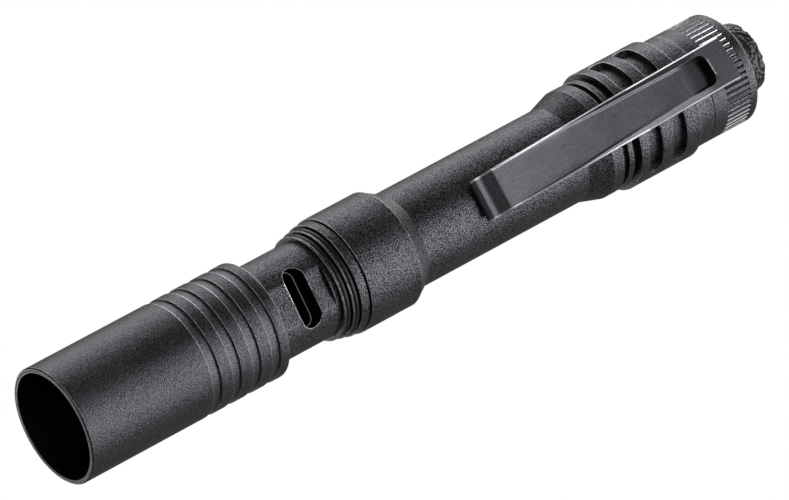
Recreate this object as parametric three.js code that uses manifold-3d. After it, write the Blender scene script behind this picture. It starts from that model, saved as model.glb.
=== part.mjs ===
// Rechargeable pen flashlight with a sliding head that uncovers a charging port in its neck.
// Millimetres, +Z up. The axis lies along X, the front faces -X and the pocket clip is on top.
// Stations are measured along the axis from the front rim, with the head pulled out.

import * as THREE from 'three';
import { mergeVertices } from 'three/addons/utils/BufferGeometryUtils.js';
import Module from 'manifold-3d';

const wasm = await Module();
wasm.setup();

// Sides of the turned pieces: a multiple of four, so that a flat lies underneath
const TURNED_SIDES = 24;
const SMALL_SIDES = 20;
const ARC_STEPS = 6;

// Clearances
const SLIDE_CLEARANCE = 0.12;
const SEAT_GAP = 0.1;
const SOFT_GAP = 0.05;
const LOOSE_GAP = 0.3;

// Sliding head
const HEAD_LENGTH = 36.0;
const HEAD_RADIUS = 9.2;
const HEAD_WALL = 0.77;
const HEAD_TRAVEL = 13.6;
const RIM_CHAMFER = 0.3;
const RIB_GROOVES = 4;
const RIB_PITCH = 3.61;
const RIB_GROOVE_WIDTH = 1.65;
const RIB_GROOVE_DEPTH = 0.4;
const RIB_STEP = 0.25;
const REAR_LIP = 1.6;
const STOP_RING_INSET = 5.0;
const STOP_RING_WIDTH = 0.8;
const STOP_RING_SEAT_DEPTH = 0.35;

// Optics
const OPTIC_LEAD = 8.0;
const RETAINER_LENGTH = 1.0;
const RETAINER_WALL = 1.0;
const GASKET_LENGTH = 0.6;
const LENS_LENGTH = 1.4;
const REFLECTOR_LENGTH = 5.9;
const REFLECTOR_THROAT = 2.7;
const LED_DOME = 1.5;
const LED_SQUARE = 3.45;
const LED_THICKNESS = 0.8;
const LED_BOARD_THICKNESS = 1.0;
const LEAD_RADIUS = 0.45;
const LEAD_OFFSET = 3.0;
const SINK_FLANGE = 1.8;
const SINK_PLUG_LENGTH = 4.7;

// Port housing
const FRONT_TUBE_WALL = 0.8;
const GUIDE_LENGTH = 6.9;
const FRICTION_GROOVE_WIDTH = 1.5;
const FRICTION_GROOVE_DEPTH = 0.5;
const NECK_RADIUS = 7.62;
const NECK_BORE = 6.2;
const FRONT_LAND = 1.4;
const FRONT_LAND_STEP = 0.3;
const REAR_LAND = 1.35;
const LAND_RING_WIDTH = 1.0;
const LAND_RING_DEPTH = 0.55;
const BAND_LENGTH = 1.5;
const BAND_RADIUS = 8.95;
const HOUSING_SPIGOT_LENGTH = 7.6;
const SPIGOT_WALL = 1.0;
const SPIGOT_RING_WIDTH = 1.3;
const SPIGOT_RING_DEPTH = 0.4;

// Charging port
const PORT_LEAN = 9.4;
const PORT_INSET = 5.1;
const PORT_FLAT_HEIGHT = 6.93;
const FLAT_END_LAND = 0.7;
const PORT_SHELL_LENGTH = 8.94;
const PORT_SHELL_WIDTH = 3.2;
const PORT_SHELL_WALL = 0.3;
const PORT_SHELL_TOP = 4.0;
const PORT_SHELL_DEPTH = 7.3;
const PORT_TONGUE_LENGTH = 6.7;
const PORT_TONGUE_THICKNESS = 0.7;
const PORT_TONGUE_RECESS = 0.8;
const PORT_BASE_DEPTH = 1.8;
const BOARD_THICKNESS = 0.8;
const BOARD_WIDTH = 8.0;
const CHIP_SIZE = 4.0;
const CHIP_HEIGHT = 0.9;
const COIL_RADIUS = 1.5;
const COIL_HEIGHT = 1.8;

// Barrel
const PARTING_GAP = 0.15;
const COLLAR_LENGTH = 9.4;
const COLLAR_RADIUS = 9.23;
const COLLAR_CONE = 2.7;
const BARREL_RADIUS = 7.62;
const PLAIN_LENGTH = 30.7;
const FLARE_LENGTH = 3.9;
const FLARE_RADIUS = 8.8;
const FLARE_BAND = 2.0;
const RING_GROOVE_WIDTH = 0.9;
const RING_GROOVE_DEPTH = 0.8;
const RING_RIB = 1.0;
const GRIP_LENGTH = 11.6;
const GRIP_RADIUS = 9.5;
const REAR_BAND = 3.2;
const CELL_BORE = 5.6;
const POCKET_ROWS = 2;
const POCKETS_AROUND = 4;
const POCKET_WIDTH = 2.65;
const POCKET_PITCH = 4.7;
const POCKET_ARC = 54;
const POCKET_DEPTH = 1.0;
const POCKET_LEAD = 1.45;

// Power
const CONTACT_BOARD_THICKNESS = 1.0;
const CONTACT_SPRING_LENGTH = 2.7;
const SPRING_WIRE = 0.7;
const CONTACT_SPRING_RADIUS = 1.8;
const CELL_CLEARANCE = 0.35;
const CELL_NUB_LENGTH = 0.8;
const CELL_NUB_RADIUS = 2.2;
const TAIL_SPRING_LENGTH = 5.7;
const TAIL_SPRING_RADIUS = 2.6;

// Tail cap and switch
const CAP_LENGTH = 8.6;
const CAP_RADIUS = 8.8;
const CAP_WALL = 2.6;
const CAP_CHAMFER = 0.3;
const CAP_SPIGOT_LENGTH = 6.0;
const CAP_SPIGOT_WALL = 0.75;
const CAP_LIP = 1.5;
const SWITCH_MOUTH = 5.66;
const KNURL_TEETH = 58;
const KNURL_FRONT = 2.55;
const KNURL_LENGTH = 4.55;
const KNURL_DEPTH = 0.25;
const TAIL_RING_WIDTH = 1.4;
const TAIL_RING_DEPTH = 0.3;
const SWITCH_RETAINER_LENGTH = 1.2;
const SWITCH_BODY_LENGTH = 7.2;
const SWITCH_FLOOR = 1.8;
const SWITCH_CAVITY = 3.4;
const PLUNGER_STEM_RADIUS = 1.5;
const PLUNGER_STEM_LENGTH = 4.4;
const SWITCH_TRAVEL = 2.0;
const BOOT_PROUD = 4.6;
const BOOT_WALL = 1.05;
const BOOT_FLANGE = 1.2;
const BOOT_EDGE = 0.6;

// Pocket clip
const CLIP_WIDTH = 7.0;
const CLIP_THICKNESS = 0.9;
const CLIP_SKEW = 1.5;
const CLIP_REAR_INSET = 4.15;
const CLIP_SEAT_HEIGHT = 8.1;
const CLIP_PLATE_LENGTH = 9.15;
const CLIP_ARM_LENGTH = 37.8;
const CLIP_LEVEL_LENGTH = 10.0;
const CLIP_SAG = 0.95;
const CLIP_BEND_LENGTH = 1.8;
const CLIP_BEND_DROP = 1.0;
const CLIP_NUB_LENGTH = 3.5;
const CLIP_PAD_LENGTH = 3.2;
const CLIP_PAD_WIDTH = 5.2;
const CLIP_PAD_INSET = 1.0;
const CLIP_RAIL = 1.05;
const CLIP_RAIL_HEIGHT = 0.35;
const CLIP_POCKET_LENGTH = 5.2;
const CLIP_POCKET_DEPTH = 1.4;
const CLIP_POCKET_CORNER = 1.2;
const CLIP_POCKET_REAR = 3.75;
const CLIP_PEG_RADIUS = 0.6;
const CLIP_PEG_LENGTH = 1.2;

// Stations and radii that follow from the sizes above
const headBore = HEAD_RADIUS - HEAD_WALL;
const stopRingFront = HEAD_LENGTH - STOP_RING_INSET;
const stopRingRear = stopRingFront + STOP_RING_WIDTH;
const guideRear = stopRingFront - SEAT_GAP;
const guideFront = guideRear - GUIDE_LENGTH;
const guideRadius = headBore - SLIDE_CLEARANCE;
const bandFront = HEAD_LENGTH + HEAD_TRAVEL + SOFT_GAP;
const rearLandFront = bandFront - REAR_LAND;
const landFront = rearLandFront - FRONT_LAND;
const frontLandRadius = headBore - SLIDE_CLEARANCE;
const rearLandRadius = frontLandRadius + FRONT_LAND_STEP;
const skirtBore = rearLandRadius + SLIDE_CLEARANCE;
const bandRear = bandFront + BAND_LENGTH;
const housingRear = bandRear + HOUSING_SPIGOT_LENGTH;
const spigotRadius = NECK_BORE + SPIGOT_WALL;
const portStation = landFront - PORT_INSET;

const frontBore = guideRadius - FRONT_TUBE_WALL;
const opticRadius = frontBore - LOOSE_GAP;
const opticFront = guideFront - OPTIC_LEAD;
const gasketFront = opticFront + RETAINER_LENGTH + SOFT_GAP;
const lensFront = gasketFront + GASKET_LENGTH + SOFT_GAP;
const reflectorFront = lensFront + LENS_LENGTH + SOFT_GAP;
const reflectorRear = reflectorFront + REFLECTOR_LENGTH;
const ledBoardFront = reflectorRear + LED_THICKNESS;
const sinkFront = ledBoardFront + LED_BOARD_THICKNESS + SOFT_GAP;
const sinkSeat = sinkFront + SINK_FLANGE + SOFT_GAP;
const sinkRear = sinkSeat + SINK_PLUG_LENGTH;

const barrelFront = bandRear + PARTING_GAP;
const collarRear = barrelFront + COLLAR_LENGTH;
const coneRear = collarRear + COLLAR_CONE;
const flareFront = coneRear + PLAIN_LENGTH;
const flareRear = flareFront + FLARE_LENGTH;
const flareBandRear = flareRear + FLARE_BAND;
const ribFront = flareBandRear + RING_GROOVE_WIDTH;
const ribRear = ribFront + RING_RIB;
const gripFront = ribRear + RING_GROOVE_WIDTH;
const gripRear = gripFront + GRIP_LENGTH;
const barrelRear = gripRear + REAR_BAND;
const spigotBore = spigotRadius + SEAT_GAP;
const spigotFloor = housingRear + LOOSE_GAP;

const capFront = barrelRear + SEAT_GAP;
const capRear = capFront + CAP_LENGTH;
const capSpigotFront = capFront - CAP_SPIGOT_LENGTH;
const capBore = CAP_RADIUS - CAP_WALL;
const capSpigotRadius = capBore + CAP_SPIGOT_WALL;
const capSpigotBore = capSpigotRadius + SEAT_GAP;
const capSpigotFloor = capSpigotFront - LOOSE_GAP;
const lipFront = capRear - CAP_LIP;
const retainerFront = capSpigotFront + SEAT_GAP;
const switchFront = retainerFront + SWITCH_RETAINER_LENGTH + SOFT_GAP;
const switchRear = switchFront + SWITCH_BODY_LENGTH;
const switchFloor = switchFront + SWITCH_FLOOR;
const bootRear = capRear + BOOT_PROUD;
const bootRadius = SWITCH_MOUTH - LOOSE_GAP + SEAT_GAP;
const bootFlangeRear = lipFront - SEAT_GAP;
const bootFront = bootFlangeRear - BOOT_FLANGE;
const bootCeiling = bootRear - BOOT_WALL;
const plungerRear = bootCeiling - SEAT_GAP;
const plungerStemFront = switchFloor + SWITCH_TRAVEL + LOOSE_GAP;
const plungerHeadFront = plungerStemFront + PLUNGER_STEM_LENGTH;
const plungerHeadRadius = SWITCH_CAVITY - LOOSE_GAP;

const contactBoardRear = housingRear - 2 * LOOSE_GAP;
const contactBoardFront = contactBoardRear - CONTACT_BOARD_THICKNESS;
const cellNubFront = contactBoardRear + CONTACT_SPRING_LENGTH + SEAT_GAP;
const cellFront = cellNubFront + CELL_NUB_LENGTH;
const cellRear = switchFront - SOFT_GAP - TAIL_SPRING_LENGTH - SEAT_GAP;
const cellRadius = CELL_BORE - CELL_CLEARANCE;

const clipUnderside = GRIP_RADIUS + LOOSE_GAP;
const clipTop = clipUnderside + CLIP_THICKNESS;
const clipRear = capRear - CLIP_REAR_INSET;
const clipPlateFront = clipRear - CLIP_PLATE_LENGTH;
const clipArmRear = clipPlateFront - LOOSE_GAP;
const clipTip = clipArmRear - CLIP_ARM_LENGTH;
const clipPadRear = clipRear - CLIP_PAD_INSET;
const clipPadFront = clipPadRear - CLIP_PAD_LENGTH;
const clipPegStation = (clipPadFront + clipPadRear) / 2;

// Finishes
function finish(color, roughness, metalness) {
  return new THREE.MeshStandardMaterial({ color, roughness, metalness });
}

const blackAnodised = finish(0x26282b, 0.55, 0.8);
const clipSteel = finish(0x4b4d50, 0.4, 0.9);
const bareAluminium = finish(0xb9bcc0, 0.35, 1.0);
const springSteel = finish(0xa8acb0, 0.3, 1.0);
const brightSteel = finish(0xc4c7ca, 0.25, 1.0);
const brass = finish(0xc8a24a, 0.35, 1.0);
const blackRubber = finish(0x151515, 0.8, 0.0);
const blackPlastic = finish(0x1d1d1f, 0.6, 0.0);
const mirrorCoat = finish(0xe6e8ea, 0.08, 1.0);
const clearGlass = finish(0xdfe9ee, 0.05, 0.0);
const greenBoard = finish(0x1f5a38, 0.5, 0.0);
const whiteBoard = finish(0xe9e9e4, 0.5, 0.0);
const ledYellow = finish(0xe6d05a, 0.4, 0.0);
const cellWrap = finish(0x2f5f8f, 0.5, 0.0);
const leadRed = finish(0xa62a24, 0.5, 0.0);
const leadBlack = finish(0x191919, 0.5, 0.0);

// Geometry helpers

function weld(geometry) {
  geometry.deleteAttribute('normal');
  geometry.deleteAttribute('uv');
  const welded = mergeVertices(geometry);
  const corners = welded.index.array;
  const kept = [];
  for (let i = 0; i < corners.length; i += 3) {
    const [a, b, c] = corners.slice(i, i + 3);
    if (a !== b && b !== c && c !== a) {
      kept.push(a, b, c);
    }
  }
  welded.setIndex(kept);
  return welded;
}

// A piece turned about the axis. The profile holds [station, radius] points. It starts and ends
// on the axis, or is a ring's closed section. Radii are measured to the middle of the flats.
function turned(profile, sides = TURNED_SIDES) {
  const flat = Math.cos(Math.PI / sides);
  const points = profile.map(([station, radius]) => new THREE.Vector2(radius / flat, station));
  if (THREE.ShapeUtils.area(points) < 0) {
    points.reverse();
  }
  if (points[0].x > 0) {
    points.push(points[0].clone());
  }
  const geometry = new THREE.LatheGeometry(points, sides, Math.PI / sides);
  geometry.rotateZ(-Math.PI / 2);
  return weld(geometry);
}

function disc(front, rear, radius, sides = TURNED_SIDES) {
  return turned([[front, 0], [front, radius], [rear, radius], [rear, 0]], sides);
}

function tube(front, rear, bore, radius, sides = TURNED_SIDES) {
  return turned([[front, bore], [front, radius], [rear, radius], [rear, bore]], sides);
}

// A round seal with a six-sided section, shaped to its groove
function sealRing(front, rear, bore, radius) {
  const middle = (bore + radius) / 2;
  const shoulder = (rear - front) / 4;
  return turned([
    [front, middle],
    [front + shoulder, radius],
    [rear - shoulder, radius],
    [rear, middle],
    [rear - shoulder, bore],
    [front + shoulder, bore],
  ]);
}

function block(x0, x1, width, z0, z1) {
  const geometry = new THREE.BoxGeometry(x1 - x0, width, z1 - z0);
  geometry.translate((x0 + x1) / 2, 0, (z0 + z1) / 2);
  return weld(geometry);
}

function post(x, y, z0, z1, radius) {
  const geometry = new THREE.CylinderGeometry(radius, radius, z1 - z0, SMALL_SIDES);
  geometry.rotateX(Math.PI / 2);
  geometry.translate(x, y, (z0 + z1) / 2);
  return weld(geometry);
}

// A plan outline in X and Y, raised from z0 to z1
function raised(shape, z0, z1) {
  const settings = { depth: z1 - z0, bevelEnabled: false, curveSegments: ARC_STEPS };
  const geometry = new THREE.ExtrudeGeometry(shape, settings);
  geometry.translate(0, 0, z0);
  return weld(geometry);
}

// A side outline in X and Z, as wide as told, centred on Y = 0
function sided(outline, width) {
  const shape = new THREE.Shape(outline.map(([x, z]) => new THREE.Vector2(x, z)));
  const geometry = new THREE.ExtrudeGeometry(shape, { depth: width, bevelEnabled: false });
  geometry.rotateX(Math.PI / 2);
  geometry.translate(0, width / 2, 0);
  return weld(geometry);
}

// A slot outline with round ends, long across Y
function slotShape(station, length, width) {
  const reach = (length - width) / 2;
  const radius = width / 2;
  const shape = new THREE.Shape();
  shape.absarc(station, reach, radius, 0, Math.PI);
  shape.absarc(station, -reach, radius, Math.PI, 2 * Math.PI);
  shape.closePath();
  return shape;
}

function solid(geometry) {
  const vertProperties = new Float32Array(geometry.attributes.position.array);
  const triVerts = new Uint32Array(geometry.index.array);
  return new wasm.Manifold(new wasm.Mesh({ numProp: 3, vertProperties, triVerts }));
}

function geometryOf(body) {
  const mesh = body.getMesh();
  const geometry = new THREE.BufferGeometry();
  geometry.setAttribute('position', new THREE.BufferAttribute(mesh.vertProperties, 3));
  geometry.setIndex(new THREE.BufferAttribute(mesh.triVerts, 1));
  return geometry;
}

function cut(geometry, cutters) {
  const rest = cutters.reduce((body, cutter) => body.subtract(solid(cutter)), solid(geometry));
  return geometryOf(rest);
}

function joined(geometries) {
  return geometryOf(geometries.map(solid).reduce((body, next) => body.add(next)));
}

function common(first, second) {
  return geometryOf(solid(first).intersect(solid(second)));
}

function turnedAbout(geometry, degrees) {
  return geometry.rotateX(THREE.MathUtils.degToRad(degrees));
}

const flashlight = new THREE.Group();
const portGroup = new THREE.Group();
portGroup.rotation.x = THREE.MathUtils.degToRad(PORT_LEAN);
const clipGroup = new THREE.Group();
clipGroup.position.x = clipPegStation;
clipGroup.rotation.z = THREE.MathUtils.degToRad(CLIP_SKEW);
flashlight.add(portGroup, clipGroup);

function piece(name, geometry, material, group = flashlight) {
  geometry.computeVertexNormals();
  const mesh = new THREE.Mesh(geometry, material);
  mesh.name = name;
  group.add(mesh);
}

// Sliding head: a thin tube with saw-tooth finger grooves, a skirt for the seals and a stop ring

function ribGroove(number) {
  const rear = HEAD_LENGTH - REAR_LIP - (RIB_GROOVES - 1 - number) * RIB_PITCH;
  return [
    [rear - RIB_GROOVE_WIDTH, HEAD_RADIUS],
    [rear - RIB_STEP, HEAD_RADIUS - RIB_GROOVE_DEPTH],
    [rear, HEAD_RADIUS],
  ];
}

const ribGrooves = Array.from({ length: RIB_GROOVES }, (_, number) => ribGroove(number)).flat();
const stopSeat = headBore + STOP_RING_SEAT_DEPTH;
const skirtFront = HEAD_LENGTH - REAR_LAND - SEAT_GAP;

piece('head_sleeve', turned([
  [0, headBore],
  [0, HEAD_RADIUS - RIM_CHAMFER],
  [RIM_CHAMFER, HEAD_RADIUS],
  ...ribGrooves,
  [HEAD_LENGTH, HEAD_RADIUS],
  [HEAD_LENGTH, skirtBore],
  [skirtFront, skirtBore],
  [skirtFront, headBore],
  [stopRingRear + SOFT_GAP, headBore],
  [stopRingRear + SOFT_GAP, stopSeat],
  [stopRingFront - SOFT_GAP, stopSeat],
  [stopRingFront - SOFT_GAP, headBore],
]), blackAnodised);

piece('head_stop_ring',
  tube(stopRingFront, stopRingRear, NECK_RADIUS + SLIDE_CLEARANCE, stopSeat - SOFT_GAP), springSteel);

// Port housing: optic tube, guide, neck with a milled flat and port slot, seal lands and spigot

const frictionFront = (guideFront + guideRear - FRICTION_GROOVE_WIDTH) / 2;
const frictionRear = frictionFront + FRICTION_GROOVE_WIDTH;
const frictionFloor = guideRadius - FRICTION_GROOVE_DEPTH;
const frontRingFront = rearLandFront - LAND_RING_WIDTH;
const frontRingFloor = frontLandRadius - LAND_RING_DEPTH;
const rearRingFront = bandFront - LAND_RING_WIDTH;
const rearRingFloor = rearLandRadius - LAND_RING_DEPTH;
const spigotRingFront = bandRear + PARTING_GAP + LOOSE_GAP;
const spigotRingRear = spigotRingFront + SPIGOT_RING_WIDTH;
const spigotRingFloor = spigotRadius - SPIGOT_RING_DEPTH;

const housingBlank = turned([
  [opticFront, frontBore],
  [opticFront, guideRadius - SEAT_GAP],
  [guideFront, guideRadius - SEAT_GAP],
  [guideFront, guideRadius],
  [frictionFront, guideRadius],
  [frictionFront, frictionFloor],
  [frictionRear, frictionFloor],
  [frictionRear, guideRadius],
  [guideRear, guideRadius],
  [guideRear, NECK_RADIUS],
  [landFront, NECK_RADIUS],
  [landFront, frontLandRadius],
  [frontRingFront, frontLandRadius],
  [frontRingFront, frontRingFloor],
  [rearLandFront, frontRingFloor],
  [rearLandFront, rearLandRadius],
  [rearRingFront, rearLandRadius],
  [rearRingFront, rearRingFloor],
  [bandFront, rearRingFloor],
  [bandFront, BAND_RADIUS],
  [bandRear, BAND_RADIUS],
  [bandRear, spigotRadius],
  [spigotRingFront, spigotRadius],
  [spigotRingFront, spigotRingFloor],
  [spigotRingRear, spigotRingFloor],
  [spigotRingRear, spigotRadius],
  [housingRear, spigotRadius],
  [housingRear, NECK_BORE],
  [sinkSeat, NECK_BORE],
  [sinkSeat, frontBore],
]);

const flatCut = block(stopRingRear + LOOSE_GAP, landFront - FLAT_END_LAND, 2 * NECK_RADIUS,
  PORT_FLAT_HEIGHT, NECK_RADIUS + LOOSE_GAP);
const portSlot = raised(
  slotShape(portStation, PORT_SHELL_LENGTH + LOOSE_GAP, PORT_SHELL_WIDTH + LOOSE_GAP),
  0, NECK_RADIUS + LOOSE_GAP);

piece('port_housing', cut(housingBlank, [
  turnedAbout(flatCut, PORT_LEAN),
  turnedAbout(portSlot, PORT_LEAN),
]), blackAnodised);

piece('head_friction_ring', sealRing(frictionFront + SOFT_GAP, frictionRear - SOFT_GAP,
  frictionFloor + SOFT_GAP, headBore - SOFT_GAP), blackRubber);
piece('seal_ring_front', sealRing(frontRingFront + SOFT_GAP, rearLandFront - SOFT_GAP,
  frontRingFloor + SOFT_GAP, frontLandRadius), blackRubber);
piece('seal_ring_rear', sealRing(rearRingFront + SOFT_GAP, bandFront - SOFT_GAP,
  rearRingFloor + SOFT_GAP, rearLandRadius + SOFT_GAP), blackRubber);
piece('body_seal_ring', sealRing(spigotRingFront + SOFT_GAP, spigotRingRear - SOFT_GAP,
  spigotRingFloor + SOFT_GAP, spigotBore - SOFT_GAP), blackRubber);

// Optics: retainer, gasket, window, reflector, emitter on its board, and the heat sink behind it

piece('lens_retainer', tube(opticFront + SEAT_GAP, opticFront + RETAINER_LENGTH,
  opticRadius - RETAINER_WALL, frontBore - SEAT_GAP), blackAnodised);
piece('lens_gasket', tube(gasketFront, gasketFront + GASKET_LENGTH,
  opticRadius - RETAINER_WALL, frontBore - SEAT_GAP), blackRubber);
piece('lens', disc(lensFront, lensFront + LENS_LENGTH, frontBore - SEAT_GAP), clearGlass);

const bowlSteps = 5;
const bowlMouth = opticRadius - RETAINER_WALL;

function bowlPoint(step) {
  const share = step / bowlSteps;
  const radius = bowlMouth + share * (REFLECTOR_THROAT - bowlMouth);
  const depth = (bowlMouth ** 2 - radius ** 2) / (bowlMouth ** 2 - REFLECTOR_THROAT ** 2);
  return [reflectorFront + depth * REFLECTOR_LENGTH, radius];
}

const bowl = Array.from({ length: bowlSteps + 1 }, (_, step) => bowlPoint(step));
piece('reflector', turned([
  ...bowl,
  [reflectorRear, frontBore - SEAT_GAP],
  [reflectorFront, frontBore - SEAT_GAP],
]), mirrorCoat);

const domeSteps = 4;

function domePoint(step) {
  const angle = (Math.PI / 2) * (step / domeSteps);
  return [reflectorRear - LED_DOME * Math.cos(angle), LED_DOME * Math.sin(angle)];
}

const dome = Array.from({ length: domeSteps + 1 }, (_, step) => domePoint(step));
const emitterDome = turned([...dome, [reflectorRear + SOFT_GAP, LED_DOME], [reflectorRear + SOFT_GAP, 0]],
  SMALL_SIDES);
const emitterBase = block(reflectorRear, ledBoardFront, LED_SQUARE, -LED_SQUARE / 2, LED_SQUARE / 2);
piece('led_emitter', joined([emitterDome, emitterBase]), ledYellow);
piece('led_board', disc(ledBoardFront, ledBoardFront + LED_BOARD_THICKNESS, opticRadius), whiteBoard);

const leadFront = ledBoardFront + LED_BOARD_THICKNESS + SOFT_GAP;
const leadRear = sinkRear + LOOSE_GAP;

function lead(side, radius, front, rear) {
  const geometry = disc(front, rear, radius, SMALL_SIDES);
  geometry.translate(0, side * LEAD_OFFSET, 0);
  return geometry;
}

piece('heat_sink', cut(turned([
  [sinkFront, 0],
  [sinkFront, opticRadius],
  [sinkSeat - SOFT_GAP, opticRadius],
  [sinkSeat - SOFT_GAP, NECK_BORE - SEAT_GAP],
  [sinkRear, NECK_BORE - SEAT_GAP],
  [sinkRear, 0],
]), [-1, 1].map((side) => lead(side, LEAD_RADIUS + LOOSE_GAP, sinkFront - LOOSE_GAP, sinkRear + LOOSE_GAP))),
bareAluminium);
piece('led_lead_plus', lead(1, LEAD_RADIUS, leadFront, leadRear), leadRed);
piece('led_lead_minus', lead(-1, LEAD_RADIUS, leadFront, leadRear), leadBlack);

// Charging port: a receptacle that stands on the driver board, behind the slot in the neck

const shellBottom = PORT_SHELL_TOP - PORT_SHELL_DEPTH;
const shellMouthLength = PORT_SHELL_LENGTH - 2 * PORT_SHELL_WALL;
const shellMouthWidth = PORT_SHELL_WIDTH - 2 * PORT_SHELL_WALL;
const baseTop = shellBottom + PORT_BASE_DEPTH;
const boardTop = shellBottom - LOOSE_GAP;
const boardFront = leadRear + LOOSE_GAP;
const boardRear = contactBoardFront - LOOSE_GAP;

const shellBlank = raised(slotShape(portStation, PORT_SHELL_LENGTH, PORT_SHELL_WIDTH),
  shellBottom, PORT_SHELL_TOP);
const shellMouth = raised(slotShape(portStation, shellMouthLength, shellMouthWidth),
  shellBottom - LOOSE_GAP, PORT_SHELL_TOP + LOOSE_GAP);
piece('usb_shell', cut(shellBlank, [shellMouth]), brightSteel, portGroup);

const tongueBase = raised(
  slotShape(portStation, shellMouthLength - 2 * SEAT_GAP, shellMouthWidth - 2 * SEAT_GAP),
  shellBottom, baseTop);
const tongueBlade = block(portStation - PORT_TONGUE_THICKNESS / 2, portStation + PORT_TONGUE_THICKNESS / 2,
  PORT_TONGUE_LENGTH, baseTop - SEAT_GAP, PORT_SHELL_TOP - PORT_TONGUE_RECESS);
piece('usb_tongue', joined([tongueBase, tongueBlade]), blackPlastic, portGroup);

piece('driver_board', block(boardFront, boardRear, BOARD_WIDTH, boardTop - BOARD_THICKNESS, boardTop),
  greenBoard, portGroup);

const chipStation = (portStation + PORT_SHELL_WIDTH / 2 + boardRear) / 2;
const coilStation = (boardFront + portStation - PORT_SHELL_WIDTH / 2) / 2;
piece('charge_chip', block(chipStation - CHIP_SIZE / 2, chipStation + CHIP_SIZE / 2, CHIP_SIZE,
  boardTop + SOFT_GAP, boardTop + SOFT_GAP + CHIP_HEIGHT), blackPlastic, portGroup);
piece('boost_coil', post(coilStation, 0, boardTop + SOFT_GAP, boardTop + SOFT_GAP + COIL_HEIGHT, COIL_RADIUS),
  blackPlastic, portGroup);

// Power path: contact board, front spring, cell and tail spring

piece('contact_board', disc(contactBoardFront, contactBoardRear, NECK_BORE - SEAT_GAP), greenBoard);
piece('front_contact_spring', tube(contactBoardRear + SOFT_GAP, contactBoardRear + CONTACT_SPRING_LENGTH,
  CONTACT_SPRING_RADIUS - SPRING_WIRE, CONTACT_SPRING_RADIUS, SMALL_SIDES), springSteel);
piece('battery_cell', turned([
  [cellNubFront, 0],
  [cellNubFront, CELL_NUB_RADIUS],
  [cellFront, CELL_NUB_RADIUS],
  [cellFront, cellRadius],
  [cellRear, cellRadius],
  [cellRear, 0],
]), cellWrap);
piece('battery_spring', tube(cellRear + SEAT_GAP, switchFront - SOFT_GAP,
  TAIL_SPRING_RADIUS - SPRING_WIRE, TAIL_SPRING_RADIUS, SMALL_SIDES), springSteel);

// Barrel: collar, plain tube, flare, ring grooves and the grip with its rows of milled pockets

const barrelBlank = turned([
  [barrelFront, spigotBore],
  [barrelFront, COLLAR_RADIUS],
  [collarRear, COLLAR_RADIUS],
  [coneRear, BARREL_RADIUS],
  [flareFront, BARREL_RADIUS],
  [flareRear, FLARE_RADIUS],
  [flareBandRear, FLARE_RADIUS],
  [flareBandRear, FLARE_RADIUS - RING_GROOVE_DEPTH],
  [ribFront, FLARE_RADIUS - RING_GROOVE_DEPTH],
  [ribFront, FLARE_RADIUS],
  [ribRear, FLARE_RADIUS],
  [ribRear, FLARE_RADIUS - RING_GROOVE_DEPTH],
  [gripFront, FLARE_RADIUS - RING_GROOVE_DEPTH],
  [gripFront, GRIP_RADIUS],
  [gripRear, GRIP_RADIUS],
  [gripRear, CAP_RADIUS],
  [barrelRear, CAP_RADIUS],
  [barrelRear, capSpigotBore],
  [capSpigotFloor, capSpigotBore],
  [capSpigotFloor, CELL_BORE],
  [spigotFloor, CELL_BORE],
  [spigotFloor, spigotBore],
]);

const pocketChord = 2 * GRIP_RADIUS * Math.sin(THREE.MathUtils.degToRad(POCKET_ARC / 2));
const pocketFloor = disc(gripFront - LOOSE_GAP, gripRear + LOOSE_GAP, GRIP_RADIUS - POCKET_DEPTH);

function gripPocket(row, place) {
  const station = gripFront + POCKET_LEAD + POCKET_WIDTH / 2 + row * POCKET_PITCH;
  const shape = slotShape(station, pocketChord, POCKET_WIDTH);
  const cutter = cut(raised(shape, 0, GRIP_RADIUS + LOOSE_GAP), [pocketFloor]);
  return turnedAbout(cutter, (360 / POCKETS_AROUND) * (place + 0.5));
}

const gripPockets = [];
for (let row = 0; row < POCKET_ROWS; row += 1) {
  for (let place = 0; place < POCKETS_AROUND; place += 1) {
    gripPockets.push(gripPocket(row, place));
  }
}
piece('barrel', cut(barrelBlank, gripPockets), blackAnodised);

// Tail cap: knurled turning with a milled flat for the clip, its seal, and the switch inside

const tailRingRear = capFront - LOOSE_GAP - SEAT_GAP;
const tailRingFront = tailRingRear - TAIL_RING_WIDTH;
const tailRingFloor = capSpigotRadius - TAIL_RING_DEPTH;

const capBlank = turned([
  [capSpigotFront, capBore],
  [capSpigotFront, capSpigotRadius],
  [tailRingFront, capSpigotRadius],
  [tailRingFront, tailRingFloor],
  [tailRingRear, tailRingFloor],
  [tailRingRear, capSpigotRadius],
  [capFront, capSpigotRadius],
  [capFront, CAP_RADIUS],
  [capRear - CAP_CHAMFER, CAP_RADIUS],
  [capRear, CAP_RADIUS - CAP_CHAMFER],
  [capRear, SWITCH_MOUTH],
  [lipFront, SWITCH_MOUTH],
  [lipFront, capBore],
]);

const knurlFront = capFront + KNURL_FRONT;
const knurlHalf = (Math.PI * CAP_RADIUS) / KNURL_TEETH;
const knurlOuter = CAP_RADIUS + KNURL_DEPTH;

function knurlNotch(tooth) {
  const shape = new THREE.Shape();
  shape.moveTo(0, CAP_RADIUS - KNURL_DEPTH);
  shape.lineTo(knurlHalf, knurlOuter);
  shape.lineTo(-knurlHalf, knurlOuter);
  shape.closePath();
  const geometry = new THREE.ExtrudeGeometry(shape, { depth: KNURL_LENGTH, bevelEnabled: false });
  geometry.rotateX(Math.PI / 2);
  geometry.rotateZ(Math.PI / 2);
  geometry.translate(knurlFront, 0, 0);
  return turnedAbout(weld(geometry), (360 / KNURL_TEETH) * tooth);
}

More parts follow.
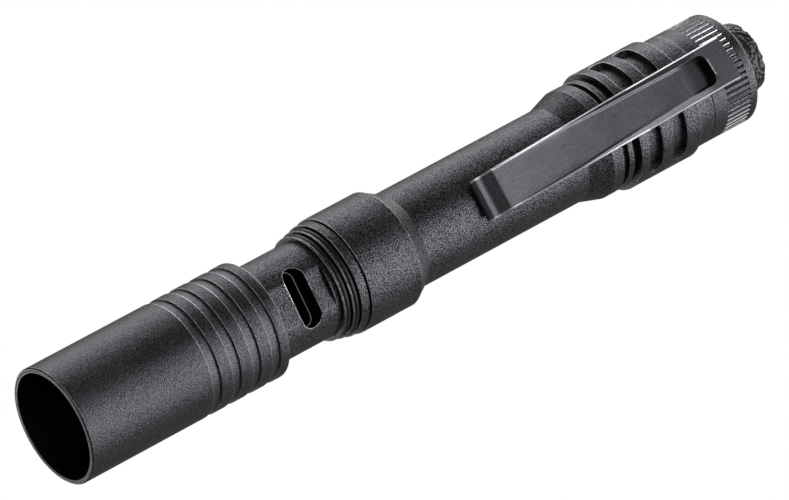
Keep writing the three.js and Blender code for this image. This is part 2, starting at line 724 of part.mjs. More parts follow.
const clipFlat = block(capFront - SEAT_GAP, clipRear + LOOSE_GAP, 2 * CAP_RADIUS,
  CLIP_SEAT_HEIGHT - SOFT_GAP, CAP_RADIUS + LOOSE_GAP);
const pegHole = post(clipPegStation, 0, CLIP_SEAT_HEIGHT - CLIP_PEG_LENGTH - LOOSE_GAP,
  CAP_RADIUS + LOOSE_GAP, CLIP_PEG_RADIUS + LOOSE_GAP);
const knurl = Array.from({ length: KNURL_TEETH }, (_, tooth) => knurlNotch(tooth));
piece('tail_cap', cut(capBlank, [...knurl, clipFlat, pegHole]), blackAnodised);

piece('tail_seal_ring', sealRing(tailRingFront + SOFT_GAP, tailRingRear - SOFT_GAP,
  tailRingFloor + SOFT_GAP, capSpigotBore - SOFT_GAP), blackRubber);
piece('switch_retainer', tube(retainerFront, retainerFront + SWITCH_RETAINER_LENGTH,
  TAIL_SPRING_RADIUS + LOOSE_GAP, capBore - SEAT_GAP), brass);
piece('switch_housing', turned([
  [switchFront, 0],
  [switchFront, capBore - SEAT_GAP],
  [switchRear, capBore - SEAT_GAP],
  [switchRear, SWITCH_CAVITY],
  [switchFloor, SWITCH_CAVITY],
  [switchFloor, 0],
]), blackPlastic);
piece('switch_spring', tube(switchFloor + SOFT_GAP, plungerHeadFront - SOFT_GAP,
  PLUNGER_STEM_RADIUS + LOOSE_GAP, PLUNGER_STEM_RADIUS + LOOSE_GAP + SPRING_WIRE, SMALL_SIDES), springSteel);
piece('switch_plunger', turned([
  [plungerStemFront, 0],
  [plungerStemFront, PLUNGER_STEM_RADIUS],
  [plungerHeadFront, PLUNGER_STEM_RADIUS],
  [plungerHeadFront, plungerHeadRadius],
  [plungerRear, plungerHeadRadius],
  [plungerRear, 0],
], SMALL_SIDES), blackPlastic);

const bootShoulder = bootRear - BOOT_EDGE;
const bootHollow = bootRadius - BOOT_WALL;
const bootSteps = 4;

function bootPoint(step) {
  const angle = (Math.PI / 2) * (step / bootSteps);
  const crown = bootRadius * (1 - Math.cos(angle)) / 2;
  return [bootShoulder + BOOT_EDGE * Math.sin(angle), bootRadius - crown];
}

const bootCrown = Array.from({ length: bootSteps + 1 }, (_, step) => bootPoint(step));
piece('switch_boot', turned([
  [bootFront, bootHollow],
  [bootFront, capBore - SEAT_GAP],
  [bootFlangeRear, capBore - SEAT_GAP],
  [bootFlangeRear, bootRadius],
  ...bootCrown,
  [bootRear, 0],
  [bootCeiling, 0],
  [bootCeiling, bootHollow],
]), blackRubber);

// Pocket clip: a foot pegged to the tail cap and a springy arm that bends down to a rounded nub

const footX = (station) => station - clipPegStation;
const clipPlate = block(footX(clipPlateFront), footX(clipRear), CLIP_WIDTH, clipUnderside, clipTop);
const clipPad = block(footX(clipPadFront), footX(clipPadRear), CLIP_PAD_WIDTH, CLIP_SEAT_HEIGHT,
  clipUnderside + SOFT_GAP);
const clipWeb = block(footX(gripRear) + LOOSE_GAP, footX(clipPadFront) + SOFT_GAP, CLIP_PAD_WIDTH,
  CAP_RADIUS + LOOSE_GAP, clipUnderside + SOFT_GAP);
const clipPeg = post(0, 0, CLIP_SEAT_HEIGHT - CLIP_PEG_LENGTH, CLIP_SEAT_HEIGHT + SOFT_GAP, CLIP_PEG_RADIUS);

const floorTop = clipTop - CLIP_RAIL_HEIGHT;
const pocketRear = clipRear - CLIP_POCKET_REAR;
const pocketFront = pocketRear - CLIP_POCKET_LENGTH;
const pocketHalf = CLIP_WIDTH / 2 - CLIP_RAIL;
const pocketPlan = new THREE.Shape();
pocketPlan.moveTo(footX(clipPlateFront) - LOOSE_GAP, -pocketHalf);
pocketPlan.lineTo(footX(pocketRear) - CLIP_POCKET_CORNER, -pocketHalf);
pocketPlan.absarc(footX(pocketRear) - CLIP_POCKET_CORNER, -pocketHalf + CLIP_POCKET_CORNER,
  CLIP_POCKET_CORNER, -Math.PI / 2, 0);
pocketPlan.absarc(footX(pocketRear) - CLIP_POCKET_CORNER, pocketHalf - CLIP_POCKET_CORNER,
  CLIP_POCKET_CORNER, 0, Math.PI / 2);
pocketPlan.lineTo(footX(clipPlateFront) - LOOSE_GAP, pocketHalf);
pocketPlan.closePath();
const scoopSide = sided([
  [footX(clipPlateFront) - LOOSE_GAP, floorTop],
  [footX(pocketFront), floorTop],
  [footX(pocketRear), clipTop - CLIP_POCKET_DEPTH],
  [footX(pocketRear), clipTop + LOOSE_GAP],
  [footX(clipPlateFront) - LOOSE_GAP, clipTop + LOOSE_GAP],
], CLIP_WIDTH);
const scoop = common(scoopSide, raised(pocketPlan, CLIP_SEAT_HEIGHT, clipTop + LOOSE_GAP));
piece('clip_foot', cut(joined([clipPlate, clipPad, clipWeb, clipPeg]), [scoop]), clipSteel, clipGroup);

const armRear = footX(clipArmRear);
const levelFront = armRear - CLIP_LEVEL_LENGTH;
const nubFront = footX(clipTip);
const nubRear = nubFront + CLIP_NUB_LENGTH;
const bendRear = nubRear + CLIP_BEND_LENGTH;
const bendTop = clipTop - CLIP_SAG;
const nubTop = bendTop - CLIP_BEND_DROP;
const nubBottom = BARREL_RADIUS + SLIDE_CLEARANCE;
const nubMiddle = (nubTop + nubBottom) / 2;
const nubRound = CLIP_NUB_LENGTH / 4;
const armBlank = sided([
  [armRear, clipTop],
  [levelFront, clipTop],
  [bendRear, bendTop],
  [nubRear, nubTop],
  [nubFront + nubRound, nubTop],
  [nubFront, nubMiddle],
  [nubFront + nubRound, nubBottom],
  [nubRear - nubRound, nubBottom],
  [bendRear, bendTop - CLIP_THICKNESS],
  [levelFront, clipUnderside],
  [armRear, clipUnderside],
], CLIP_WIDTH);

const channelPlan = new THREE.Shape([
  new THREE.Vector2(armRear + LOOSE_GAP, -pocketHalf),
  new THREE.Vector2(armRear + LOOSE_GAP, pocketHalf),
  new THREE.Vector2(bendRear, CLIP_WIDTH / 2),
  new THREE.Vector2(bendRear, -CLIP_WIDTH / 2),
]);
const channelSide = sided([
  [armRear + LOOSE_GAP, floorTop],
  [armRear + LOOSE_GAP, clipTop + LOOSE_GAP],
  [levelFront, clipTop + LOOSE_GAP],
  [bendRear, bendTop + LOOSE_GAP],
  [bendRear, bendTop],
  [levelFront, floorTop],
], CLIP_WIDTH + LOOSE_GAP);
const channel = common(channelSide, raised(channelPlan, bendTop - LOOSE_GAP, clipTop + LOOSE_GAP));
piece('clip_arm', cut(armBlank, [channel]), clipSteel, clipGroup);

// The origin lies under the middle of the part, on the surface that it rests on
flashlight.position.set(-bootRear / 2, 0, GRIP_RADIUS);

export default flashlight;
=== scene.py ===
from math import cos, pi, radians, sin, sqrt, tan

import bmesh
import bpy
from mathutils import Matrix, Vector, noise
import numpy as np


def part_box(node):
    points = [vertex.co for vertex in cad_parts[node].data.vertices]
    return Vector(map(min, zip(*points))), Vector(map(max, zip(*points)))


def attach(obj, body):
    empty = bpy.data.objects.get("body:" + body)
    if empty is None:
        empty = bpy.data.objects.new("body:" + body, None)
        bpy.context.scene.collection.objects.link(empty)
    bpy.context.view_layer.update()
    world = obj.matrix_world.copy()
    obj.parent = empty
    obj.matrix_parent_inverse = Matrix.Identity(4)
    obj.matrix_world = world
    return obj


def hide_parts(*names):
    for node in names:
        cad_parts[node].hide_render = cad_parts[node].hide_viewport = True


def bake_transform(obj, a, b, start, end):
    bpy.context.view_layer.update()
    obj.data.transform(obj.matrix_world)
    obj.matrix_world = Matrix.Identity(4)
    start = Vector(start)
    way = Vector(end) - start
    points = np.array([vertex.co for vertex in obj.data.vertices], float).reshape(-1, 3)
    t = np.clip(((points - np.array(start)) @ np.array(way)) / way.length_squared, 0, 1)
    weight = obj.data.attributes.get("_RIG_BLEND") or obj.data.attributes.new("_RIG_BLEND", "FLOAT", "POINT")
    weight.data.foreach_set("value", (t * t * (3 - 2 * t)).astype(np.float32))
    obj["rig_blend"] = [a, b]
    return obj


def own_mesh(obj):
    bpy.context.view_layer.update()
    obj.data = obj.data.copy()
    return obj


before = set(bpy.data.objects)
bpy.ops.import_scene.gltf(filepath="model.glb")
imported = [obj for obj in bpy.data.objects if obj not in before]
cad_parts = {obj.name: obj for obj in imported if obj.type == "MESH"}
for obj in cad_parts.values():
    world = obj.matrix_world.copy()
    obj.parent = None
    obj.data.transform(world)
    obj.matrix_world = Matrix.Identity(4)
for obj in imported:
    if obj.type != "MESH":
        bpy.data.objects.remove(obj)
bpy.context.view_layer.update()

# Studio. A plain white room with large soft boxes on all sides, seen through a long lens from above the
# front of the light. The axis runs up to the right, 61 degrees off the line of sight. Only the camera
# sees the floor, so that the boxes below it still reach the metal.
mm = 0.001
axis_height = (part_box("barrel")[0].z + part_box("barrel")[1].z) / 2
middle = Vector((-4.75 * mm, 0, axis_height))
sight_angle = radians(61)
sight_roll = radians(3.9)
picture_slope = radians(28.32)
facing = Vector((0, -sin(sight_roll), cos(sight_roll)))
toward = sin(sight_angle) * facing - cos(sight_angle) * Vector((1, 0, 0))
along = (Vector((1, 0, 0)) + cos(sight_angle) * toward) / sin(sight_angle)
across = Vector((0, -cos(sight_roll), -sin(sight_roll)))
right = cos(picture_slope) * along + sin(picture_slope) * across
above = sin(picture_slope) * along - cos(picture_slope) * across
aim_right = 1.854 * mm
aim_below = 0.017 * mm
aim = middle + aim_right * right - aim_below * above
camera_reach = 1.25

lens_data = bpy.data.cameras.new("long_lens")
lens_data.lens = 391.25
lens_data.sensor_width = 36
lens_data.sensor_fit = "HORIZONTAL"
lens_data.clip_end = 20
camera = bpy.data.objects.new("long_lens", lens_data)
camera_turn = Matrix((right, above, toward)).transposed().to_4x4()
camera.matrix_world = Matrix.Translation(aim + camera_reach * toward) @ camera_turn
scene = bpy.context.scene
scene.collection.objects.link(camera)
scene.camera = camera
scene.view_settings.view_transform = "Standard"


class Wire:
    """An output in a node tree. Sums on it add Math nodes, and node() adds any other node."""

    def __init__(self, tree, socket):
        self.tree = tree
        self.socket = socket

    def node(self, kind, settings, inputs, output=0):
        made = self.tree.nodes.new(kind)
        for name, value in settings.items():
            setattr(made, name, value)
        for name, value in inputs.items():
            feed(self.tree, made.inputs[name], value)
        return Wire(self.tree, made.outputs[output])

    def sum(self, operation, first, second):
        return self.node("ShaderNodeMath", {"operation": operation}, {0: first, 1: second})

    def __add__(self, other):
        return self.sum("ADD", self, other)

    def __radd__(self, other):
        return self.sum("ADD", other, self)

    def __sub__(self, other):
        return self.sum("SUBTRACT", self, other)

    def __rsub__(self, other):
        return self.sum("SUBTRACT", other, self)

    def __mul__(self, other):
        return self.sum("MULTIPLY", self, other)

    def __rmul__(self, other):
        return self.sum("MULTIPLY", other, self)

    def __gt__(self, other):
        return self.sum("GREATER_THAN", self, other)


def feed(tree, socket, value):
    if isinstance(value, Wire):
        tree.links.new(value.socket, socket)
    else:
        socket.default_value = value


def new_material(name):
    """A material, its shader and the wire of places on the piece, in metres."""
    material = bpy.data.materials.new(name)
    material.use_nodes = True
    tree = material.node_tree
    places = Wire(tree, tree.nodes.new("ShaderNodeTexCoord").outputs["Object"])
    return material, tree.nodes["Principled BSDF"], places


def soft_box(name, roll, lean, length, width, glow):
    """A light aimed at the middle. Roll goes round the axis from the viewer's side, and lean along it."""
    side = cos(radians(roll)) * facing + sin(radians(roll)) * across
    away = sin(radians(lean)) * Vector((1, 0, 0)) + cos(radians(lean)) * side
    lengthwise = (Vector((1, 0, 0)) - away.x * away).normalized()
    data = bpy.data.lights.new(name, "AREA")
    data.shape = "RECTANGLE"
    data.size = length
    data.size_y = width
    data.energy = glow * pi * length * width
    light = bpy.data.objects.new(name, data)
    turn = Matrix((lengthwise, away.cross(lengthwise), away)).transposed().to_4x4()
    light.matrix_world = Matrix.Translation(middle + box_reach * away) @ turn
    light.visible_camera = False
    scene.collection.objects.link(light)


box_reach = 0.8
soft_box("key_box", roll=38, lean=40, length=0.7, width=0.85, glow=3.1)
soft_box("far_box", roll=-108, lean=38, length=0.85, width=0.68, glow=2.1)
soft_box("near_box", roll=102, lean=34, length=0.7, width=0.5, glow=0.25)
soft_box("tail_box", roll=120, lean=82, length=0.7, width=0.7, glow=1.0)
soft_box("front_box", roll=-20, lean=-40, length=0.5, width=0.5, glow=0.4)
soft_box("rim_box", roll=180, lean=-29, length=0.7, width=0.7, glow=0.9)

world = bpy.data.worlds.new("white_room")
world.use_nodes = True
scene.world = world
room = world.node_tree
room_seen = Wire(room, room.nodes.new("ShaderNodeLightPath").outputs["Is Camera Ray"])
room_glow = 0.17
feed(room, room.nodes["Background"].inputs["Strength"], room_glow + (1 - room_glow) * room_seen)
feed(room, room.nodes["Background"].inputs["Color"], (1, 1, 1, 1))

floor_half = 2.5
floor_mesh = bpy.data.meshes.new("floor")
floor_corners = [(x * floor_half, y * floor_half, 0) for x, y in ((-1, -1), (1, -1), (1, 1), (-1, 1))]
floor_mesh.from_pydata(floor_corners, [], [(0, 1, 2, 3)])
floor = bpy.data.objects.new("floor", floor_mesh)
scene.collection.objects.link(floor)
floor_paint = bpy.data.materials.new("floor_paint")
floor_paint.use_nodes = True
floor_tree = floor_paint.node_tree
floor_seen = Wire(floor_tree, floor_tree.nodes.new("ShaderNodeLightPath").outputs["Is Camera Ray"])
matt = floor_seen.node("ShaderNodeBsdfDiffuse", {}, {"Color": (0.3, 0.3, 0.3, 1)})
white = floor_seen.node("ShaderNodeEmission", {}, {"Color": (1, 1, 1, 1)})
floor_mix = floor_seen.node("ShaderNodeMixShader", {}, {0: floor_seen, 1: matt, 2: white})
floor_tree.links.new(floor_mix.socket, floor_tree.nodes["Material Output"].inputs["Surface"])
floor_mesh.materials.append(floor_paint)
floor.visible_shadow = False
floor.visible_diffuse = False
floor.visible_glossy = False

# Sliding head. A thin aluminium tube, turned, bead-blasted and dyed black, with four saw-tooth finger
# grooves at its rear. It slides back over the neck, and a sprung ring inside stops it coming off.
columns = 192
arc_steps = 4
edge = 0.1 * mm
fine_edge = 0.06 * mm
edge_wear_and_sheen_width = 0.2 * mm
sharp_angle = radians(32)


def at(x, radius, angle):
    """A place round the axis. The angle is from the top towards the viewer's lower side."""
    return Vector((x, -radius * sin(angle), axis_height + radius * cos(angle)))


def rounded(corners):
    """Points of an outline of (x, radius, fillet) corners, going round each filleted corner on an arc."""
    points = []
    for index, (x, radius, fillet) in enumerate(corners):
        here = Vector((x, radius))
        if not fillet:
            points.append(here)
            continue
        back = (Vector(corners[index - 1][:2]) - here).normalized()
        ahead = (Vector(corners[(index + 1) % len(corners)][:2]) - here).normalized()
        half = back.angle(ahead) / 2
        centre = here + (back + ahead).normalized() * fillet / sin(half)
        start = here + back * fillet / tan(half) - centre
        end = here + ahead * fillet / tan(half) - centre
        for step in range(arc_steps + 1):
            points.append(centre + start.lerp(end, step / arc_steps).normalized() * fillet)
    return points


def join(bm, *corners, wear_sheen_shade=0.0):
    """A face on those of the corners that differ, marked by so much: above 0 as worn bare metal with painted
    highlight, below 0 as painted shade.
    """
    unlike = list(dict.fromkeys(corners))
    if len(unlike) > 2:
        face = bm.faces.new(unlike)
        if wear_sheen_shade:
            face[bm.faces.layers.float["wear_sheen_shade"]] = wear_sheen_shade


def new_mesh():
    """An empty mesh whose faces hold how far each is marked, as worn bare metal with painted highlight or,
    below 0, as painted shade.
    """
    bm = bmesh.new()
    bm.faces.layers.float.new("wear_sheen_shade")
    return bm


def edge_wear_and_sheen_strips(points):
    """How far each strip of an outline is marked as worn bare metal with painted highlight: fully on small
    outward roundings, otherwise not.
    """
    outward_turn = -0.02
    ways = [Vector(after) - Vector(here) for here, after in zip(points, points[1:] + points[:1])]
    strips = []
    for index, way in enumerate(ways):
        before = ways[index - 1].normalized().cross(way.normalized())
        beyond = way.normalized().cross(ways[(index + 1) % len(ways)].normalized())
        strips.append(1.0 if max(before, beyond) < outward_turn and way.length < edge_wear_and_sheen_width else 0.0)
    return strips


def turned(points, around=columns, turn=0.0, reshape=None, left_open=None, wear_and_sheen=None):
    """A mesh turned from an outline, and its rings. The outline closes on itself, or ends on the axis."""
    bm = new_mesh()
    strips = edge_wear_and_sheen_strips(points)
    rings = []
    for x, radius in points:
        if radius <= 0:
            rings.append([bm.verts.new(at(x, 0, 0))] * around)
            continue
        ring = []
        for column in range(around):
            angle = turn + 2 * pi * column / around
            place = reshape(x, radius, angle) if reshape else (x, radius)
            ring.append(bm.verts.new(at(*place, angle)))
        rings.append(ring)
    following = rings[1:]
    if points[0][1] > 0:
        following.append(rings[0])
    for row, (near, far) in enumerate(zip(rings, following)):
        for column in range(around):
            after = (column + 1) % around
            if not left_open or not left_open(row, column):
                wear_sheen_shade = wear_and_sheen(row, column) if wear_and_sheen else 0
                join(bm, near[column], near[after], far[after], far[column], wear_sheen_shade=wear_sheen_shade or strips[row])
    return bm, rings


def add_piece(name, bm, material, body, slot, *nodes):
    """A piece of a mesh, smooth but for sharp edges. It moves with a body and stands for CAD nodes."""
    bmesh.ops.recalc_face_normals(bm, faces=bm.faces)
    mesh = bpy.data.meshes.new(name)
    bm.to_mesh(mesh)
    bm.free()
    mesh.materials.append(material)
    mesh.shade_smooth()
    mesh.set_sharp_from_angle(angle=sharp_angle)
    piece = bpy.data.objects.new(name, mesh)
    scene.collection.objects.link(piece)
    piece.modifiers.new("flat_faces", "WEIGHTED_NORMAL").keep_sharp = True
    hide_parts(*nodes)
    if body:
        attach(piece, body)
    return piece


def mixed(wire, share, first, second):
    """A colour between two, by share. Each of the two is a wire, or its red, green and blue."""
    ends = [end if isinstance(end, Wire) else (*end, 1) for end in (first, second)]
    return wire.node("ShaderNodeMix", {"data_type": "RGBA"}, {0: share, 6: ends[0], 7: ends[1]}, 2)


def toned(tint, factor):
    """A tint made darker or paler."""
    return [min(1, factor * channel) for channel in tint]


def blasted_finish(name, tint, gloss, sparkle):
    """Bead-blasted metal, dyed: fine pits and specks that sparkle, with slow clouds in tint and gloss.

    Bare metal shows on marked edges, partly as worn edges and partly as painted highlight, which is painted
    stronger on the far side where those edges catch the light.
    """
    pit = 0.2 * mm
    pit_depth = 0.04 * mm
    speck = 0.125 * mm
    # Colour of bare aluminium on marked edges, used for worn edges and painted highlight alike.
    bare_metal_and_sheen = (0.75, 0.75, 0.77)
    least_wear_and_sheen = 0.2
    middle_wear_and_sheen = 0.6
    far_side_sheen_per_metre = 200
    material, shader, places = new_material(name)
    clouds = places.node("ShaderNodeTexNoise", {}, {"Vector": places, "Scale": 90, "Detail": 3})
    pits = places.node("ShaderNodeTexVoronoi", {}, {"Vector": places, "Scale": 1 / pit}, "Distance")
    cells = places.node("ShaderNodeTexVoronoi", {}, {"Vector": places, "Scale": 1 / speck}, "Color")
    specks = places.node("ShaderNodeSeparateColor", {}, {0: cells})
    inner = 1 - pits
    grain = 2 * inner * inner * inner + 0.3 * (specks - 0.5) + 0.3 * (clouds - 0.5)
    shade = mixed(places, grain, toned(tint, 1 - sparkle), toned(tint, 1 + 2 * sparkle))
    wear_sheen_shade = places.node("ShaderNodeAttribute", {"attribute_name": "wear_sheen_shade"}, {}, "Fac")
    sideways = places.node("ShaderNodeSeparateXYZ", {}, {0: places}, 1)
    # Painted highlight: the bare-metal colour on marked edges grows towards the far side, where the edges
    # catch the light, and keeps a floor of worn metal on the near side.
    wear_and_far_sheen = places.sum("MINIMUM", 1, middle_wear_and_sheen + far_side_sheen_per_metre * sideways)
    bare_and_sheen = wear_sheen_shade * places.sum("MAXIMUM", least_wear_and_sheen, wear_and_far_sheen)
    shade = mixed(places, bare_and_sheen * (0.5 + 0.5 * specks), shade, bare_metal_and_sheen)
    feed(material.node_tree, shader.inputs["Base Color"], shade)
    roughness = gloss + 0.12 * (clouds - 0.5) + 0.1 * (specks - 0.5)
    feed(material.node_tree, shader.inputs["Roughness"], roughness)
    bump = places.node("ShaderNodeBump", {}, {"Height": pits, "Strength": 1.0, "Distance": pit_depth})
    feed(material.node_tree, shader.inputs["Normal"], bump)
    shader.inputs["Metallic"].default_value = 1
    return material


anodised_tint = (0.0765, 0.075, 0.084)
anodised = blasted_finish("black_anodised", anodised_tint, gloss=0.36, sparkle=0.45)

low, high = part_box("head_sleeve")
rim = low.x
head_rear = high.x
head_radius = (high.z - low.z) / 2
head_bore = 8.43 * mm
skirt_bore = 8.73 * mm
skirt_length = 1.45 * mm
rim_chamfer = 0.22 * mm
groove_count = 4
groove_pitch = 3.61 * mm
groove_width = 1.65 * mm
groove_depth = 0.32 * mm
groove_step = 0.13 * mm
groove_round = 0.4 * mm
rear_lip = 1.6 * mm
stop_low, stop_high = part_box("head_stop_ring")
stop_gap = 0.05 * mm
stop_seat = (stop_high.z - stop_low.z) / 2 + stop_gap

head_outline = [
    (rim, head_bore, edge),
    (rim, head_radius - rim_chamfer, edge),
    (rim + rim_chamfer, head_radius, edge),
]
for number in range(groove_count):
    groove_rear = head_rear - rear_lip - (groove_count - 1 - number) * groove_pitch
    head_outline += [
        (groove_rear - groove_width, head_radius, groove_round),
        (groove_rear - groove_step, head_radius - groove_depth, fine_edge),
        (groove_rear, head_radius, edge),
    ]
head_outline += [
    (head_rear, head_radius, edge),
    (head_rear, skirt_bore, edge),
    (head_rear - skirt_length, skirt_bore, 0),
    (head_rear - skirt_length, head_bore, 0),
    (stop_high.x + stop_gap, head_bore, 0),
    (stop_high.x + stop_gap, stop_seat, 0),
    (stop_low.x - stop_gap, stop_seat, 0),
    (stop_low.x - stop_gap, head_bore, 0),
]
head_mesh, _ = turned(rounded(head_outline))
add_piece("head_tube", head_mesh, anodised, "head", "black_anodised", "head_sleeve")

# Stop ring. A bright spring-steel ring, snapped into its seat in the head, that meets the end of the
# guide when the head is drawn out.


def drawn_finish(name, tint, metal, gloss, scale):
    """Metal, plastic or lacquer with fine drawing lines or flow marks, slightly uneven in gloss."""
    material, shader, places = new_material(name)
    marks = places.node("ShaderNodeTexNoise", {}, {"Vector": places, "Scale": scale, "Detail": 4})
    shade = mixed(places, marks, toned(tint, 0.75), toned(tint, 1.2))
    feed(material.node_tree, shader.inputs["Base Color"], shade)
    feed(material.node_tree, shader.inputs["Roughness"], gloss + 0.15 * (marks - 0.5))
    bump = places.node("ShaderNodeBump", {}, {"Height": marks, "Strength": 0.3, "Distance": 0.01 * mm})
    feed(material.node_tree, shader.inputs["Normal"], bump)
    shader.inputs["Metallic"].default_value = metal
    return material


def plain_ring(name, node, bore, fillet, material, body, slot):
    """A ring as long and as wide as its CAD node, with rounded edges."""
    low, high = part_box(node)
    radius = (high.z - low.z) / 2
    corners = ((low.x, bore), (low.x, radius), (high.x, radius), (high.x, bore))
    ring_mesh, _ = turned(rounded([(*corner, fillet) for corner in corners]))
    return add_piece(name, ring_mesh, material, body, slot, node)


spring_steel = drawn_finish("spring_steel", (0.5, 0.51, 0.52), metal=1, gloss=0.3, scale=3000)
neck_radius = 7.62 * mm
slide_clearance = 0.12 * mm
stop_bore = neck_radius + slide_clearance
plain_ring("stop_ring", "head_stop_ring", stop_bore, edge, spring_steel, "head", "spring_steel")

# Port housing. Another black turning: the optic tube, a guide the head runs on, the slim neck with a
# milled flat and a charging slot through it, the seal lands, a flange band and a screwed spigot.
low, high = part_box("port_housing")
housing_front = low.x
housing_rear = high.x
band_radius = (high.z - low.z) / 2
guide_radius = 8.31 * mm
front_bore = 7.51 * mm
guide_front = rim + 24.0 * mm
guide_rear = stop_low.x - 0.1 * mm
friction_low, friction_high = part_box("head_friction_ring")
friction_floor = 7.81 * mm
neck_bore = 6.2 * mm
sink_seat = rim + 28.75 * mm
front_land = rim + 46.9 * mm
front_land_radius = 8.31 * mm
rear_land_radius = 8.61 * mm
ring_gap = 0.05 * mm
ring_groove = 0.55 * mm
front_ring_low, front_ring_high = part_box("seal_ring_front")
rear_ring_low, rear_ring_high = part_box("seal_ring_rear")
band_front = rear_ring_high.x + ring_gap
band_rear = band_front + 1.5 * mm
spigot_radius = 7.2 * mm
body_ring_low, body_ring_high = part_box("body_seal_ring")
body_ring_floor = 6.8 * mm

port_lean = radians(9.4)
port_x = rim + 41.8 * mm
flat_front = stop_high.x + 0.3 * mm
flat_rear = front_land - 0.7 * mm
flat_height = 6.93 * mm
flat_wall = 0.03 * mm
slot_half_length = 4.62 * mm
slot_half_width = 1.75 * mm
slot_span = 28
slot_straight = 0.45
# Rows of the slot's edge: how far each is grown and dropped, and how strongly its faces are marked bright,
# partly as worn edge and partly as painted highlight.
slot_profile = (
    (0.35 * mm, 0, 0),
    (0.12 * mm, 0, 0),
    (0.04 * mm, 0.03 * mm, 2),
    (0, 0.12 * mm, 2),
)
window = 2.6 * mm

housing_outline = [
    (housing_front, front_bore, edge),
    (housing_front, guide_radius - edge, fine_edge),
    (guide_front, guide_radius - edge, 0),
    (guide_front, guide_radius, fine_edge),
    (friction_low.x - ring_gap, guide_radius, fine_edge),
    (friction_low.x - ring_gap, friction_floor, 0),
    (friction_high.x + ring_gap, friction_floor, 0),
    (friction_high.x + ring_gap, guide_radius, fine_edge),
    (guide_rear, guide_radius, edge),
    (guide_rear, neck_radius, fine_edge),
    (flat_front - flat_wall, neck_radius, 0),
    (flat_front, neck_radius, 0),
    (port_x - window, neck_radius, 0),
    (port_x + window, neck_radius, 0),
    (flat_rear, neck_radius, 0),
    (flat_rear + flat_wall, neck_radius, 0),
    (front_land, neck_radius, fine_edge),
    (front_land, front_land_radius, fine_edge),
    (front_ring_low.x - ring_gap, front_land_radius, fine_edge),
    (front_ring_low.x - ring_gap, front_land_radius - ring_groove, 0),
    (front_ring_high.x + ring_gap, front_land_radius - ring_groove, 0),
    (front_ring_high.x + ring_gap, rear_land_radius, fine_edge),
    (rear_ring_low.x - ring_gap, rear_land_radius, fine_edge),
    (rear_ring_low.x - ring_gap, rear_land_radius - ring_groove, 0),
    (band_front, rear_land_radius - ring_groove, 0),
    (band_front, band_radius, edge),
    (band_rear, band_radius, edge),
    (band_rear, spigot_radius, 0),
    (body_ring_low.x - ring_gap, spigot_radius, 0),
    (body_ring_low.x - ring_gap, body_ring_floor, 0),
    (body_ring_high.x + ring_gap, body_ring_floor, 0),
    (body_ring_high.x + ring_gap, spigot_radius, 0),
    (housing_rear, spigot_radius, edge),
    (housing_rear, neck_bore, edge),
    (port_x + window, neck_bore, 0),
    (port_x - window, neck_bore, 0),
    (sink_seat, neck_bore, 0),
    (sink_seat, front_bore, 0),
]


def milled_flat(x, radius, angle):
    lean = cos(angle - port_lean)
    on_the_neck = neck_bore + edge < radius < neck_radius + edge
    if on_the_neck and flat_front - flat_wall / 2 < x < flat_rear + flat_wall / 2 and lean > 0:
        return x, min(radius, flat_height / lean)
    return x, radius


def slot_edge(share, straight, half_length, half_width):
    """A place (forward, sideways) on half the edge of a slot with round ends. Share goes from -1 to 1."""
    reach = half_length - half_width
    if abs(share) <= straight:
        return half_width, reach * share / straight
    swing = radians(90) * (abs(share) - straight) / (1 - straight)
    tip = reach + half_width * sin(swing)
    return half_width * cos(swing), tip if share > 0 else -tip


def slot_loop(bm, count, straight, half_length, half_width, lay):
    """The front and rear half of a slot's edge, which share their tips. Lay puts a place of it in space."""
    shares = [2 * number / (count - 1) - 1 for number in range(count)]
    places = [slot_edge(share, straight, half_length, half_width) for share in shares]
    front = [bm.verts.new(lay(-forward, sideways)) for forward, sideways in places]
    rear = [bm.verts.new(lay(forward, sideways)) for forward, sideways in places[1:-1]]
    return front, [front[0], *rear, front[-1]]


def bridge(bm, outer, inner, wear_sheen_shade=0.0):
    """Faces between two loops of two halves each, marked by so much as worn bare metal with painted
    highlight.
    """
    for far, near in zip(outer, inner):
        for number in range(len(far) - 1):
            join(bm, far[number], far[number + 1], near[number + 1], near[number], wear_sheen_shade=wear_sheen_shade)
    for end in (0, -1):
        join(bm, outer[0][end], outer[1][end], inner[1][end], inner[0][end], wear_sheen_shade=wear_sheen_shade)


def port_place(forward, sideways, height):
    """A place by the port: along the axis, across it, and out along the port's normal."""
    normal = Vector((0, -sin(port_lean), cos(port_lean)))
    beside = Vector((0, -cos(port_lean), -sin(port_lean)))
    return Vector((port_x + forward, 0, axis_height)) + height * normal + sideways * beside


def on_neck(forward, sideways, drop):
    return port_place(forward, sideways, min(flat_height, sqrt(neck_radius ** 2 - sideways ** 2)) - drop)


def in_bore(forward, sideways):
    return port_place(forward, sideways, sqrt(neck_bore ** 2 - sideways ** 2))


housing_points = rounded(housing_outline)
window_row = housing_points.index(Vector((port_x - window, neck_radius)))
bore_row = housing_points.index(Vector((port_x + window, neck_bore)))


def in_window(row, column):
    return row in (window_row, bore_row) and (column < slot_span or column >= columns - slot_span)


